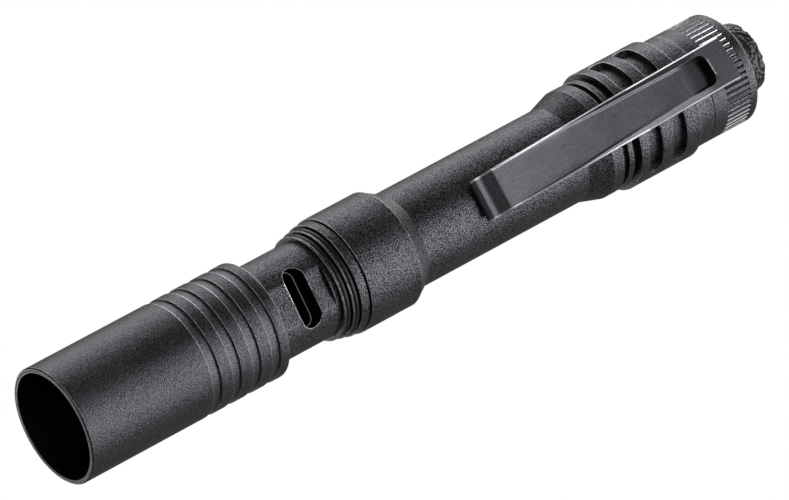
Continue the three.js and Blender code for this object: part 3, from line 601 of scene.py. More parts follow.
housing_mesh, rings = turned(housing_points, turn=port_lean, reshape=milled_flat, left_open=in_window)
window_columns = range(-slot_span, slot_span + 1)
slot_count = len(window_columns)
outer_loop = [[rings[row][column] for column in window_columns] for row in (window_row, window_row + 1)]
for grown, drop, wear_sheen_shade in slot_profile:
    loop = slot_loop(
        housing_mesh, slot_count, slot_straight, slot_half_length + grown, slot_half_width + grown,
        lambda forward, sideways: on_neck(forward, sideways, drop))
    bridge(housing_mesh, outer_loop, loop, wear_sheen_shade)
    outer_loop = loop
bore_loop = [[rings[row][column] for column in window_columns] for row in (bore_row + 1, bore_row)]
loop = slot_loop(housing_mesh, slot_count, slot_straight, slot_half_length, slot_half_width, in_bore)
bridge(housing_mesh, bore_loop, loop)
bridge(housing_mesh, outer_loop, loop)
sparkling = blasted_finish("sparkling_anodised", anodised_tint, gloss=0.36, sparkle=0.72)
add_piece("neck_and_lands", housing_mesh, sparkling, "body", "black_anodised", "port_housing")

# Seal rings. Moulded black rubber, round in section, stretched into the grooves of the lands, the
# guide and the spigot. They give the head its friction and keep water out.


def rubber_finish(name, tint, gloss, sheen, scale, grain):
    """Moulded rubber: matt, with a soft fine grain and a little bloom."""
    material, shader, places = new_material(name)
    bloom = places.node("ShaderNodeTexNoise", {}, {"Vector": places, "Scale": 500, "Detail": 4})
    grit = places.node("ShaderNodeTexNoise", {}, {"Vector": places, "Scale": scale, "Detail": 2})
    shade = mixed(places, bloom, tint, toned(tint, 2.2))
    feed(material.node_tree, shader.inputs["Base Color"], shade)
    feed(material.node_tree, shader.inputs["Roughness"], gloss + 0.2 * (bloom - 0.5))
    bump = places.node("ShaderNodeBump", {}, {"Height": grit, "Strength": 0.6, "Distance": grain})
    feed(material.node_tree, shader.inputs["Normal"], bump)
    shader.inputs["IOR"].default_value = sheen
    return material


def seal(name, node, floor_radius):
    """A rubber ring, oval in section, between a groove's floor and its CAD node's outer radius."""
    low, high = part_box(node)
    outer = (high.z - low.z) / 2
    inner = floor_radius + ring_gap
    steps = 20
    section = []
    for step in range(steps):
        swing = 2 * pi * step / steps
        x = (low.x + high.x) / 2 + (high.x - low.x) / 2 * cos(swing)
        section.append((x, (outer + inner) / 2 + (outer - inner) / 2 * sin(swing)))
    seal_mesh, _ = turned(section)
    add_piece(name, seal_mesh, seal_rubber, "body", "black_rubber", node)


seal_rubber = rubber_finish(
    "seal_rubber", (0.005, 0.005, 0.0056), gloss=0.36, sheen=1.4, scale=5000, grain=0.01 * mm)
seal("front_land_seal", "seal_ring_front", front_land_radius - ring_groove)
seal("rear_land_seal", "seal_ring_rear", rear_land_radius - ring_groove)
seal("guide_friction_ring", "head_friction_ring", friction_floor)
seal("spigot_seal", "body_seal_ring", body_ring_floor)

# Optics. A screwed retainer and a gasket hold the glass in the optic tube, over a vacuum-coated
# reflector. The emitter sits at its throat on a white board, with a turned heat sink behind.
optic_bore = 6.21 * mm
plain_ring("glass_retainer", "lens_retainer", optic_bore, edge, anodised, "body", "black_anodised")
plain_ring("glass_gasket", "lens_gasket", optic_bore, edge, seal_rubber, "body", "black_rubber")

low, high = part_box("lens")
glass_radius = (high.z - low.z) / 2
glass, glass_shader, glass_places = new_material("clear_glass")
smears = glass_places.node("ShaderNodeTexNoise", {}, {"Vector": glass_places, "Scale": 220, "Detail": 5})
feed(glass.node_tree, glass_shader.inputs["Roughness"], 0.02 + 0.05 * smears)
glass_shader.inputs["Base Color"].default_value = (0.94, 0.97, 0.98, 1)
glass_shader.inputs["Transmission Weight"].default_value = 1
glass_shader.inputs["IOR"].default_value = 1.5
glass_mesh, _ = turned(rounded([
    (low.x, 0, 0),
    (low.x, glass_radius, edge),
    (high.x, glass_radius, edge),
    (high.x, 0, 0),
]))
add_piece("window_glass", glass_mesh, glass, "body", "clear_glass", "lens")

low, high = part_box("reflector")
reflector_radius = (high.z - low.z) / 2
throat = 2.7 * mm
bowl_steps = 28
bowl = []
for step in range(bowl_steps + 1):
    radius = optic_bore + (throat - optic_bore) * step / bowl_steps
    depth = (optic_bore ** 2 - radius ** 2) / (optic_bore ** 2 - throat ** 2)
    bowl.append((low.x + depth * (high.x - low.x), radius))
bowl += [(high.x, reflector_radius), (low.x, reflector_radius)]
mirror = drawn_finish("mirror_coat", (0.8, 0.81, 0.82), metal=1, gloss=0.12, scale=900)
bowl_mesh, _ = turned(bowl)
add_piece("reflector_bowl", bowl_mesh, mirror, "body", "mirror_coat", "reflector")

low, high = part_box("led_emitter")
dome_radius = 1.5 * mm
dome_steps = 12
dome_columns = 64
dome_base = low.x + dome_radius
dome = []
for step in range(dome_steps + 1):
    swing = radians(90) * step / dome_steps
    dome.append((dome_base - dome_radius * cos(swing), dome_radius * sin(swing) if step else 0))
dome += [(dome_base + fine_edge, dome_radius), (dome_base + fine_edge, 0)]
phosphor, phosphor_shader, phosphor_places = new_material("led_phosphor")
powder = phosphor_places.node(
    "ShaderNodeTexNoise", {}, {"Vector": phosphor_places, "Scale": 9000, "Detail": 3})
feed(phosphor.node_tree, phosphor_shader.inputs["Base Color"],
     mixed(phosphor_places, powder, (0.62, 0.5, 0.06), (0.85, 0.7, 0.18)))
phosphor_shader.inputs["Roughness"].default_value = 0.15
phosphor_shader.inputs["Coat Weight"].default_value = 1
dome_mesh, _ = turned(dome, around=dome_columns)
add_piece("emitter_dome", dome_mesh, phosphor, "body", "led_phosphor", "led_emitter")
ceramic = drawn_finish("emitter_ceramic", (0.72, 0.72, 0.7), metal=0, gloss=0.5, scale=2500)
base_mesh = bmesh.new()
base_size = Vector((high.x - dome_base, high.y - low.y, high.z - low.z))
base_middle = Vector(((high.x + dome_base) / 2, 0, axis_height))
bmesh.ops.create_cube(base_mesh, matrix=Matrix.Translation(base_middle) @ Matrix.Diagonal((*base_size, 1)))
bmesh.ops.bevel(base_mesh, geom=base_mesh.edges, offset=fine_edge, segments=2, affect="EDGES")
add_piece("emitter_base", base_mesh, ceramic, "body", "white_board")


def dress(material, *nodes):
    """Gives CAD nodes that keep their own shape a finish."""
    for node in nodes:
        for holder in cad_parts[node].material_slots:
            holder.material = material


dress(ceramic, "led_board")
turned_aluminium = drawn_finish("turned_aluminium", (0.6, 0.61, 0.62), metal=1, gloss=0.35, scale=2200)
dress(turned_aluminium, "heat_sink")
red_insulation = drawn_finish("red_insulation", (0.35, 0.03, 0.02), metal=0, gloss=0.45, scale=1500)
dress(red_insulation, "led_lead_plus")
black_insulation = drawn_finish("black_insulation", (0.012, 0.012, 0.012), metal=0, gloss=0.45, scale=1500)
dress(black_insulation, "led_lead_minus")

# Charging port. A drawn steel receptacle stands on the driver board, deep behind the slot in the neck,
# with a black tongue that carries two rows of gilt contacts.
shell_half_length = 4.47 * mm
shell_half_width = 1.6 * mm
shell_wall = 0.3 * mm
shell_top = 4.0 * mm
shell_bottom = -3.3 * mm
shell_count = 41
shell_lip = shell_wall / 2
lip_corner = 0.3 * shell_lip
shell_profile = (
    (0, shell_bottom),
    (0, shell_top - shell_lip),
    (lip_corner, shell_top - lip_corner),
    (shell_lip, shell_top),
    (shell_wall - lip_corner, shell_top - lip_corner),
    (shell_wall, shell_top - shell_lip),
    (shell_wall, shell_bottom),
)
shell_mesh = bmesh.new()
shell_loops = []
for inset, height in shell_profile:
    shell_loops.append(slot_loop(
        shell_mesh, shell_count, slot_straight, shell_half_length - inset, shell_half_width - inset,
        lambda forward, sideways: port_place(forward, sideways, height)))
for outer, inner in zip(shell_loops, shell_loops[1:] + shell_loops[:1]):
    bridge(shell_mesh, outer, inner)
bright_steel = drawn_finish("bright_steel", (0.62, 0.63, 0.64), metal=1, gloss=0.22, scale=2600)
add_piece("port_shell", shell_mesh, bright_steel, "body", "bright_steel", "usb_shell")

contact_count = 12
contact_pitch = 0.5 * mm
contact_width = 0.26 * mm
contact_top = 2.9 * mm
contact_bottom = 0.2 * mm
blade_half = 0.35 * mm
contact_thickness = 0.03 * mm
contacts = bmesh.new()
for side in (-1, 1):
    for number in range(contact_count):
        sideways = (number - (contact_count - 1) / 2) * contact_pitch
        corners = []
        for height in (contact_bottom, contact_top):
            for off, half in ((0, -1), (0, 1), (1, 1), (1, -1)):
                forward = side * (blade_half + off * contact_thickness)
                spread = sideways + half * contact_width / 2
                corners.append(contacts.verts.new(port_place(forward, spread, height)))
        join(contacts, *corners[:4])
        join(contacts, *corners[4:])
        for first in range(4):
            second = (first + 1) % 4
            join(contacts, corners[first], corners[second], corners[4 + second], corners[4 + first])
gilt = drawn_finish("gilt", (0.75, 0.52, 0.18), metal=1, gloss=0.28, scale=4000)
add_piece("port_contacts", contacts, gilt, "body", "brass")
black_plastic = drawn_finish("black_plastic", (0.014, 0.014, 0.015), metal=0, gloss=0.5, scale=1800)
board_green = drawn_finish("board_green", (0.02, 0.11, 0.045), metal=0, gloss=0.35, scale=700)
dress(black_plastic, "usb_tongue", "charge_chip", "boost_coil")
dress(board_green, "driver_board", "contact_board")

# Power path. Coil springs of bright wire press a lithium cell, in its blue shrink wrap, between the
# contact board and the switch.


def coil(name, node, turns):
    """A coil spring of round wire, as long and as wide as its CAD node, with flat closed ends."""
    low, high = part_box(node)
    wire = 0.33 * mm
    turn_steps = 24
    radius = (high.z - low.z) / 2 - wire
    steps = turn_steps * turns
    sides = 10
    bm = bmesh.new()
    rings = []
    for step in range(steps + 1):
        share = step / steps
        lift = min(1, max(0, (share * turns - 1) / (turns - 2)))
        x = low.x + wire + lift * (high.x - low.x - 2 * wire)
        swing = 2 * pi * turns * share
        ring = []
        for side in range(sides):
            turn = 2 * pi * side / sides
            ring.append(bm.verts.new(at(x + wire * sin(turn), radius + wire * cos(turn), swing)))
        rings.append(ring)
    for near, far in zip(rings, rings[1:]):
        for side in range(sides):
            after = (side + 1) % sides
            join(bm, near[side], near[after], far[after], far[side])
    join(bm, *rings[0])
    join(bm, *rings[-1])
    return add_piece(name, bm, spring_steel, "body", "spring_steel", node)


coil("front_contact_coil", "front_contact_spring", turns=5)
coil("battery_coil", "battery_spring", turns=7)

low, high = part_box("battery_cell")
cell_radius = (high.z - low.z) / 2
cell_nub_radius = 2.2 * mm
cell_nub_length = 0.8 * mm
cell_edge = 0.5 * mm
wrap_columns = 96
wrap, wrap_shader, wrap_places = new_material("cell_wrap")
wrap_place = wrap_places.node("ShaderNodeSeparateXYZ", {}, {0: wrap_places})
on_wrap = wrap_place > low.x + cell_nub_length + fine_edge
creases = wrap_places.node("ShaderNodeTexNoise", {}, {"Vector": wrap_places, "Scale": 260, "Detail": 4})
wrap_shade = mixed(wrap_places, creases, (0.03, 0.09, 0.2), (0.05, 0.13, 0.27))
cell_shade = mixed(wrap_places, on_wrap, (0.6, 0.6, 0.6), wrap_shade)
feed(wrap.node_tree, wrap_shader.inputs["Base Color"], cell_shade)
feed(wrap.node_tree, wrap_shader.inputs["Metallic"], 1 - on_wrap)
feed(wrap.node_tree, wrap_shader.inputs["Roughness"], 0.3 + 0.12 * creases)
cell_mesh, _ = turned(rounded([
    (low.x, 0, 0),
    (low.x, cell_nub_radius, edge),
    (low.x + cell_nub_length, cell_nub_radius, 0),
    (low.x + cell_nub_length, cell_radius, cell_edge),
    (high.x, cell_radius, cell_edge),
    (high.x, 0, 0),
]), around=wrap_columns)
add_piece("lithium_cell", cell_mesh, wrap, "body", "cell_wrap", "battery_cell")

# Barrel. One long black turning: a collar over the housing's spigot, a cone, the plain tube, a flare,
# ring grooves, and a grip whose two rows of pockets are milled with a round cutter.
low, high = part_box("barrel")
barrel_front = low.x
barrel_rear = high.x
grip_radius = (high.z - low.z) / 2
collar_radius = 9.23 * mm
collar_rear = barrel_front + 9.4 * mm
cone_rear = collar_rear + 2.7 * mm
barrel_radius = 7.62 * mm
flare_front = cone_rear + 30.7 * mm
flare_rear = flare_front + 3.9 * mm
flare_radius = 8.8 * mm
cone_round = 0.4 * mm
flare_round = 0.5 * mm
flare_band_rear = flare_rear + 2.0 * mm
ring_width = 0.9 * mm
ring_depth = 0.8 * mm
rib_front = flare_band_rear + ring_width
rib_rear = rib_front + 1.0 * mm
grip_front = rib_rear + ring_width
grip_rear = grip_front + 11.6 * mm
cap_spigot_bore = 7.05 * mm
cap_spigot_floor = barrel_rear - 6.2 * mm
cell_bore = 5.6 * mm
spigot_bore = 7.3 * mm
spigot_floor = housing_rear + 0.3 * mm
pocket_rows = 2
pockets_around = 4
pocket_pitch = 4.7 * mm
pocket_half_width = 1.325 * mm
pocket_half_length = radians(27) * grip_radius
pocket_straight = 0.4
# Rows of a pocket's edge and wall: how far each is grown and dropped, and how strongly its faces are marked
# bright, partly as worn edge and partly as painted highlight.
pocket_profile = (
    (0.3 * mm, 0, 0),
    (0.08 * mm, 0, 0),
    (0.025 * mm, 0.025 * mm, 1),
    (0, 0.08 * mm, 1),
    (-0.03 * mm, 0.85 * mm, 0),
    (-0.08 * mm, 0.96 * mm, 0),
    (-0.2 * mm, 1.0 * mm, 0),
)
pocket_land = 1.45 * mm
first_pocket = grip_front + pocket_land + pocket_half_width
pocket_edges = [first_pocket + (row - 0.5) * pocket_pitch for row in range(pocket_rows + 1)]

barrel_points = rounded([
    (barrel_front, spigot_bore, 0),
    (barrel_front, collar_radius, edge),
    (collar_rear, collar_radius, edge),
    (cone_rear, barrel_radius, cone_round),
    (flare_front, barrel_radius, flare_round),
    (flare_rear, flare_radius, edge),
    (flare_band_rear, flare_radius, edge),
    (flare_band_rear, flare_radius - ring_depth, fine_edge),
    (rib_front, flare_radius - ring_depth, fine_edge),
    (rib_front, flare_radius, edge),
    (rib_rear, flare_radius, edge),
    (rib_rear, flare_radius - ring_depth, fine_edge),
    (grip_front, flare_radius - ring_depth, fine_edge),
    (grip_front, grip_radius, edge),
    *[(x, grip_radius, 0) for x in pocket_edges],
    (grip_rear, grip_radius, edge),
    (grip_rear, flare_radius, fine_edge),
    (barrel_rear, flare_radius, edge),
    (barrel_rear, cap_spigot_bore, 0),
    (cap_spigot_floor, cap_spigot_bore, 0),
    (cap_spigot_floor, cell_bore, 0),
    (spigot_floor, cell_bore, 0),
    (spigot_floor, spigot_bore, 0),
])
first_row = barrel_points.index(Vector((pocket_edges[0], grip_radius)))


def in_pockets(row, column):
    return first_row <= row < first_row + pocket_rows


barrel_mesh, rings = turned(barrel_points, left_open=in_pockets)
cell_columns = columns // pockets_around
for row in range(pocket_rows):
    for place in range(pockets_around):
        centre_x = first_pocket + row * pocket_pitch
        centre_angle = 2 * pi * (place + 0.5) / pockets_around
        outer_loop = [
            [ring[(place * cell_columns + number) % columns] for number in range(cell_columns + 1)]
            for ring in rings[first_row + row:first_row + row + 2]]
        for grown, drop, wear_sheen_shade in pocket_profile:
            loop = slot_loop(
                barrel_mesh, cell_columns + 1, pocket_straight, pocket_half_length + grown,
                pocket_half_width + grown,
                lambda forward, sideways: at(
                    centre_x + forward, grip_radius - drop, centre_angle + sideways / grip_radius))
            bridge(barrel_mesh, outer_loop, loop, wear_sheen_shade)
            outer_loop = loop
        front_half, rear_half = outer_loop
        for number in range(cell_columns):
            after = number + 1
            join(barrel_mesh, front_half[number], front_half[after], rear_half[after], rear_half[number])
add_piece("grip_barrel", barrel_mesh, sparkling, "body", "black_anodised", "barrel")

# Tail cap. A short black turning with a straight knurl behind a plain band, a chamfered rear edge, and
# a flat milled for the foot of the clip. It screws into the barrel over a seal.
low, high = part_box("tail_cap")
cap_front = barrel_rear + 0.1 * mm
cap_rear = high.x
cap_radius = 8.8 * mm
cap_spigot_front = low.x
cap_spigot_radius = 6.95 * mm
cap_bore = 6.2 * mm
cap_chamfer = 0.3 * mm
cap_lip = 1.5 * mm
switch_mouth = 5.66 * mm
tail_ring_low, tail_ring_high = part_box("tail_seal_ring")
tail_ring_floor = 6.65 * mm
knurl_teeth = 58
knurl_columns = 8
knurl_depth = 0.25 * mm
knurl_front = cap_front + 2.55 * mm
knurl_rear = knurl_front + 4.55 * mm
knurl_end = 0.04 * mm
knurl_groove = 0.25
knurl_wear_sheen_strength = 1.3
cap_skin = 0.3 * mm
clip_flat = 8.05 * mm
clip_flat_rear = cap_rear - 3.85 * mm


def knurled(x, radius, angle):
    """Cuts the knurl and the clip's flat into the outside of the cap."""
    if radius < cap_radius - cap_skin:
        return x, radius
    if knurl_front + knurl_end / 2 < x < knurl_rear - knurl_end / 2:
        tooth = angle * knurl_teeth / (2 * pi)
        beside = abs(tooth - round(tooth))
        radius -= knurl_depth * max(0, 1 - beside / knurl_groove)
    if x < clip_flat_rear + knurl_end / 2 and cos(angle) > 0:
        radius = min(radius, clip_flat / cos(angle))
    return x, radius


cap_points = rounded([
    (cap_spigot_front, cap_bore, 0),
    (cap_spigot_front, cap_spigot_radius, edge),
    (tail_ring_low.x - ring_gap, cap_spigot_radius, 0),
    (tail_ring_low.x - ring_gap, tail_ring_floor, 0),
    (tail_ring_high.x + ring_gap, tail_ring_floor, 0),
    (tail_ring_high.x + ring_gap, cap_spigot_radius, 0),
    (cap_front, cap_spigot_radius, 0),
    (cap_front, cap_radius, edge),
    (knurl_front, cap_radius, 0),
    (knurl_front + knurl_end, cap_radius, 0),
    (clip_flat_rear, cap_radius, 0),
    (clip_flat_rear + knurl_end, cap_radius, 0),
    (knurl_rear - knurl_end, cap_radius, 0),
    (knurl_rear, cap_radius, 0),
    (cap_rear - cap_chamfer, cap_radius, edge),
    (cap_rear, cap_radius - cap_chamfer, edge),
    (cap_rear, switch_mouth, edge),
    (cap_rear - cap_lip, switch_mouth, 0),
    (cap_rear - cap_lip, cap_bore, 0),
])
knurl_start = cap_points.index(Vector((knurl_front + knurl_end, cap_radius)))
knurl_stop = cap_points.index(Vector((knurl_rear - knurl_end, cap_radius)))
bevel_start = cap_points.index(Vector((knurl_rear, cap_radius))) + 1


def knurl_wear_and_sheen(row, column):
    """Marks the shoulders of the teeth and the edge behind them as worn bare metal with painted highlight.
    """
    on_shoulder = knurl_start <= row < knurl_stop and column % knurl_columns in (1, knurl_columns - 2)
    on_edge = bevel_start <= row < bevel_start + arc_steps
    return knurl_wear_sheen_strength if on_shoulder or on_edge else 0.0


cap_mesh, _ = turned(cap_points, around=knurl_teeth * knurl_columns, reshape=knurled, wear_and_sheen=knurl_wear_and_sheen)
add_piece("knurled_cap", cap_mesh, anodised, "body", "black_anodised", "tail_cap")
seal("tail_seal", "tail_seal_ring", tail_ring_floor)

# Tail switch. A plastic housing held by a brass ring, with a plunger on a return spring that shortens
# as the button is pressed. The coil here is built at its rest length and stays with the body.
brass = drawn_finish("turned_brass", (0.6, 0.42, 0.14), metal=1, gloss=0.3, scale=2400)
retainer_bore = 2.9 * mm
plain_ring("switch_ring", "switch_retainer", retainer_bore, edge, brass, "body", "brass")
dress(black_plastic, "switch_housing", "switch_plunger")
return_coil = coil("switch_return_coil", "switch_spring", turns=8)
low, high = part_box("switch_spring")
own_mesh(return_coil)

# Button boot. Moulded black rubber with a coarse pebbled side and face, and a flange under the lip of
# the cap. It slides in with the plunger when it is pressed.
low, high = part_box("switch_boot")
boot_front = low.x
boot_rear = high.x
boot_flange_radius = (high.z - low.z) / 2
boot_flange_rear = boot_front + 1.2 * mm
boot_radius = 5.36 * mm
boot_wall = 1.05 * mm
boot_edge = 0.6 * mm
pebble_front = cap_rear + 0.1 * mm
pebble_size = 0.62 * mm
pebble_height = 0.2 * mm
pebble_steps = 34
pebble_fall = 2.2
boot_columns = 220


def pebbled(x, radius, angle):
    """Raises irregular pebbles on the side and the face."""
    if (x, radius) not in pebble_rows:
        return x, radius
    near = noise.voronoi(at(x, radius, angle) / pebble_size)[0][0]
    normal = pebble_rows[(x, radius)]
    raised = pebble_height * max(0, 1 - pebble_fall * near ** 2)
    return x + (raised - pebble_height) * normal.x, radius + raised * normal.y


boot_side = []
for step in range(pebble_steps):
    x = pebble_front + (boot_rear - boot_edge - pebble_front) * step / pebble_steps
    boot_side.append(Vector((x, boot_radius)))
boot_face = []
for step in range(pebble_steps + 1):
    swing = radians(90) * step / pebble_steps
    boot_face.append(Vector((
        boot_rear - boot_edge + boot_edge * sin(swing), boot_radius - boot_edge * (1 - cos(swing)))))
for step in range(1, pebble_steps):
    boot_face.append(Vector((boot_rear, (boot_radius - boot_edge) * (1 - step / pebble_steps))))
pebble_line = boot_side + boot_face
pebble_rows = {}
for row, place in enumerate(pebble_line):
    slope = pebble_line[min(row + 1, len(pebble_line) - 1)] - pebble_line[max(row - 1, 0)]
    pebble_rows[tuple(place)] = Vector((-slope.y, slope.x)).normalized()
boot_points = [
    (boot_rear - boot_wall, boot_radius - boot_wall),
    (boot_front, boot_radius - boot_wall),
    (boot_front, boot_flange_radius),
    (boot_flange_rear, boot_flange_radius),
    (boot_flange_rear, boot_radius),
]
boot_points += [tuple(place) for place in pebble_line]
boot_points += [(boot_rear - pebble_height, 0), (boot_rear - boot_wall, 0)]
boot_mesh, _ = turned(boot_points, around=boot_columns, reshape=pebbled)
boot_rubber = rubber_finish(
    "boot_rubber", (0.009, 0.009, 0.0098), gloss=0.32, sheen=1.53, scale=4200, grain=0.01 * mm)
add_piece("button_boot", boot_mesh, boot_rubber, "button", "black_rubber", "switch_boot")

# Pocket clip. One strip of dark plated spring steel, pressed with raised rails along both sides, a
# scoop behind the grip and a bent nub at the tip. A pad under its tail is pegged to the cap's flat.
clip_half = 3.5 * mm
clip_tip = 74.2 * mm
clip_rear = 122.15 * mm
clip_peg = 119.55 * mm
clip_skew = radians(1.5)
clip_twist = radians(8)
clip_taper = 0.2 * mm
clip_top = 10.7 * mm
clip_under = 9.8 * mm
clip_thickness = clip_top - clip_under
arm_sweep = 60 * mm
level_front = 102.7 * mm
bend_rear = 77.4 * mm
bend_top = 9.75 * mm
bend_round = 1.6 * mm
bend_under_round = 1.2 * mm
nub_rear = 76.2 * mm
nub_top = 8.75 * mm
nub_bottom = 7.74 * mm
nub_round = 0.8 * mm
nub_under_rear = nub_rear - 0.7 * mm
nub_foot = nub_bottom + 0.1 * mm
arm_rear = 112.7 * mm
rail_width = 1.05 * mm
rail_height = 0.35 * mm
rail_rear = 117.0 * mm
scoop_front = 113.2 * mm
scoop_rear = 118.4 * mm
scoop_depth = 1.4 * mm
scoop_corner = 1.2 * mm
scoop_step = 0.25 * mm
scoop_rim = 0.08 * mm
scoop_rim_rear = scoop_rear + 2.5 * edge
# Stations over which the painted shade on the scoop's floor fades in.
shade_steps = 12
shade_front = scoop_front - 4 * scoop_step
shade_rear = shade_front + shade_steps * scoop_step
pad_front = 117.95 * mm
pad_rear = 121.15 * mm
pad_half = 2.6 * mm
pad_bottom = 8.1 * mm
web_front = 114.7 * mm
web_bottom = 9.1 * mm
rail_fall = 0.12 * mm
rail_wall = 0.3 * mm
rail_crest = 0.06 * mm
rail_lip = 0.07 * mm
rail_land = 0.08 * mm
rail_foot = 0.1 * mm
clip_bevel = 0.2 * mm
clip_corner = 0.3 * mm
corner_shares = (0.1, 0.3, 0.6, 1)
hair = 0.01 * mm
least_step = 0.008 * mm
clip_wear_sheen_strength = 2.0
outer_bevel = 5
rail_edge = 7
rail_side = 8

top_line = rounded([
    (clip_tip, nub_foot, 0),
    (clip_tip, nub_top, nub_round),
    (nub_rear, nub_top, bend_round),
    (bend_rear, bend_top, bend_round),
    (level_front, clip_top, arm_sweep),
    (clip_rear, clip_top, 0),
])[1:]
under_line = rounded([
    (clip_tip, nub_foot, 0),
    (clip_tip, nub_bottom, edge),
    (nub_under_rear, nub_bottom, nub_round),
    (bend_rear, bend_top - clip_thickness, bend_under_round),
    (level_front, clip_under, arm_sweep),
    (clip_rear, clip_under, 0),
])[1:]


def height_on(line, station):
    """The height of a line of (station, height) points at a station."""
    for near, far in zip(line, line[1:]):
        if near.x <= station <= far.x and far.x > near.x:
            return near.y + (far.y - near.y) * (station - near.x) / (far.x - near.x)
    return line[-1].y if station > line[-1].x else line[0].y


def ramp(station, start, end):
    return min(1, max(0, (station - start) / (end - start)))


def clip_place(station, sideways, height):
    """A place on the skewed clip, by its station from the front rim and its height above the axis."""
    twist = clip_twist * ramp(station, arm_rear, clip_tip)
    pivot = (height_on(top_line, station) + height_on(under_line, station)) / 2
    rise = height - pivot
    height = pivot + rise * cos(twist) + sideways * sin(twist)
    sideways = sideways * cos(twist) - rise * sin(twist)
    forward = station - clip_peg
    x = rim + clip_peg + forward * cos(clip_skew) - sideways * sin(clip_skew)
    return Vector((x, forward * sin(clip_skew) + sideways * cos(clip_skew), axis_height + height))


def clip_section(station):
    """Half of the clip's section at a station, as (sideways, height) from under its middle to the top's."""
    top = height_on(top_line, station)
    under = height_on(under_line, station)
    half = clip_half - clip_taper * ramp(station, level_front, clip_tip)
    for end in (station - clip_tip, clip_rear - station):
        if end < clip_corner:
            half -= clip_corner - sqrt(clip_corner ** 2 - (clip_corner - max(0, end)) ** 2)
    pad = under
    if web_front < station < pad_front:
        pad = web_bottom
    elif pad_front < station < pad_rear:
        pad = pad_bottom
    rail = clip_half - rail_width * ramp(station, bend_rear, arm_rear)
    if station > scoop_rear - scoop_corner:
        past = min(station, scoop_rear) - (scoop_rear - scoop_corner)
        rail -= scoop_corner - sqrt(max(0, scoop_corner ** 2 - past ** 2))
    sunk = rail_height * ramp(station, bend_rear, level_front)
    sunk += (scoop_depth - rail_height) * ramp(station, scoop_front, scoop_rear)
    if station > scoop_rear:
        sunk = scoop_rim if station < scoop_rear + edge else 0
    bevel = min(clip_bevel, (top - under) / 3)
    rail = min(rail, half - bevel - rail_land)
    lip = min(rail_lip, sunk / 3)
    fall = rail_fall * ramp(station, bend_rear, level_front)
    fall *= ramp(station, rail_rear, rail_rear - rail_width)
    foot = rail - min(rail_wall, sunk)
    return [
        (0, pad),
        (pad_half, pad),
        (pad_half + 2 * hair, under),
        (half - bevel, under),
        (half, under + bevel),
        (half, top - fall - bevel),
        (half - bevel, top - fall),
        (rail + rail_crest, top),
        (rail, top - lip),
        (foot, top - sunk + lip),
        (foot - rail_foot, top - sunk),
        (0.6 * rail, top - sunk),
        (0, top - sunk),
    ]


stations = [point.x for point in top_line + under_line]
stations += [clip_tip + clip_corner * share for share in corner_shares]
stations += [clip_rear - clip_corner * share for share in (0, *corner_shares)]
stations += [scoop_rear - scoop_corner * cos(radians(angle)) for angle in range(0, 90, 9)]
stations += [scoop_rear, scoop_rear + hair, scoop_rear + edge, scoop_rim_rear]
stations += [scoop_front, arm_rear]
for step in (web_front, pad_front, pad_rear):
    stations += [step - hair, step + hair]
stations += [clip_tip + number * mm for number in range(1, int((clip_rear - clip_tip) / mm) + 1)]
stations += [shade_front + number * scoop_step for number in range(shade_steps + 1)]
clip_stations = []
for station in sorted(stations):
    if not clip_stations or station - clip_stations[-1] > least_step:
        clip_stations.append(station)


def clip_wear_sheen_shade(strip, station):
    """How far a strip of the clip's section is marked bright, as worn plating with painted highlight, or
    below 0 how deep its painted shade is.
    """
    # Worn plating with painted highlight on the outer bevel, the rail's edge and the scoop's rear rim.
    on_rail = strip == outer_bevel or strip == rail_edge and station < scoop_rear
    on_rim = strip > rail_edge and scoop_rear + edge / 2 < station < scoop_rim_rear
    if on_rail or on_rim:
        return clip_wear_sheen_strength
    # Painted shade: the scoop's floor is darkened, more towards its rear, where the rim behind it would
    # shade it.
    if strip > rail_side and station < scoop_rear:
        return -ramp(station, shade_front, shade_rear)
    return 0.0


clip_mesh = new_mesh()
clip_rings = []
for station in clip_stations:
    half_section = clip_section(station)
    section = half_section + [(-sideways, height) for sideways, height in half_section[-2:0:-1]]
    clip_rings.append([clip_mesh.verts.new(clip_place(station, *place)) for place in section])
for station, near, far in zip(clip_stations, clip_rings, clip_rings[1:]):
    for number in range(len(near)):
        after = (number + 1) % len(near)
        wear_sheen_shade = clip_wear_sheen_shade(min(number, len(near) - 1 - number), station)
        join(clip_mesh, near[number], near[after], far[after], far[number], wear_sheen_shade=wear_sheen_shade)
join(clip_mesh, *clip_rings[0])
join(clip_mesh, *clip_rings[-1])


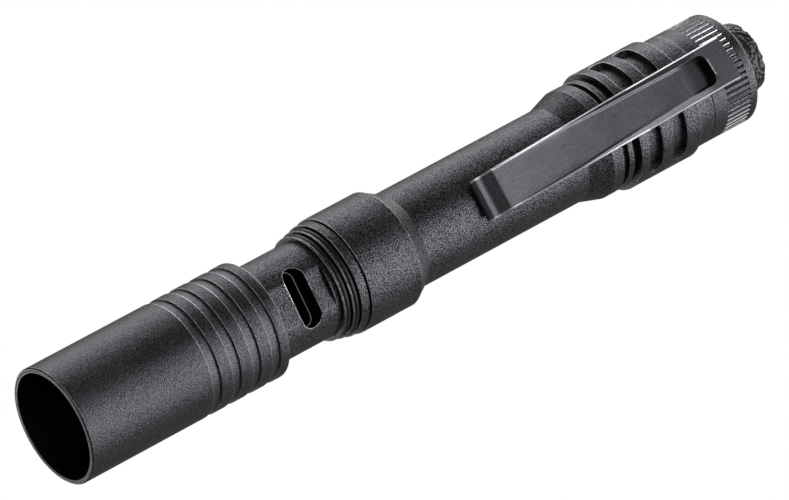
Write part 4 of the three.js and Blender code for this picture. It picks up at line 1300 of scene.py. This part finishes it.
def plated_finish(name, tint, gloss):
    """Dark plated steel: satin, with faint marks of polishing along the strip.

    It is painted bright on marked edges, as worn plating with painted highlight, and painted darker as shade
    where the mesh is marked as deep.
    """
    mark_depth = 0.012 * mm
    bright = (0.6, 0.6, 0.62)
    material, shader, places = new_material(name)
    stretched = places.node("ShaderNodeMapping", {}, {"Vector": places, "Scale": (400, 4000, 4000)})
    streaks = places.node("ShaderNodeTexNoise", {}, {"Vector": stretched, "Scale": 1, "Detail": 3})
    specks = places.node("ShaderNodeTexNoise", {}, {"Vector": places, "Scale": 3600, "Detail": 1})
    clouds = places.node("ShaderNodeTexNoise", {}, {"Vector": places, "Scale": 160, "Detail": 3})
    mottle = 0.5 + 0.6 * (clouds - 0.5) + 1.2 * (specks - 0.5) + 0.8 * (streaks - 0.5)
    shade = mixed(places, mottle, toned(tint, 0.7), toned(tint, 1.3))
    wear_sheen_shade = places.node("ShaderNodeAttribute", {"attribute_name": "wear_sheen_shade"}, {}, "Fac")
    # Painted shade: faces marked below 0 darken towards 0.42 of the tint.
    shade = mixed(places, 0 - wear_sheen_shade, shade, toned(tint, 0.42))
    # Worn plating with painted highlight: marked faces lighten towards the bright colour along the streaks.
    shade = mixed(places, wear_sheen_shade * streaks, shade, bright)
    feed(material.node_tree, shader.inputs["Base Color"], shade)
    roughness = gloss + 0.1 * (clouds - 0.5) + 0.08 * (streaks - 0.5)
    feed(material.node_tree, shader.inputs["Roughness"], roughness)
    marks = 0.5 * streaks + 0.5 * specks
    bump = places.node("ShaderNodeBump", {}, {"Height": marks, "Strength": 1.0, "Distance": mark_depth})
    feed(material.node_tree, shader.inputs["Normal"], bump)
    shader.inputs["Metallic"].default_value = 1
    return material


clip_steel = plated_finish("clip_steel", (0.105, 0.103, 0.116), gloss=0.36)
clip = add_piece("pocket_clip", clip_mesh, clip_steel, None, "clip_steel", "clip_foot", "clip_arm")
flex_rear = clip_place(112.8 * mm, 0, clip_top)
flex_front = clip_place(106 * mm, 0, clip_top)
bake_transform(clip, "body", "clip", start=flex_rear, end=flex_front)
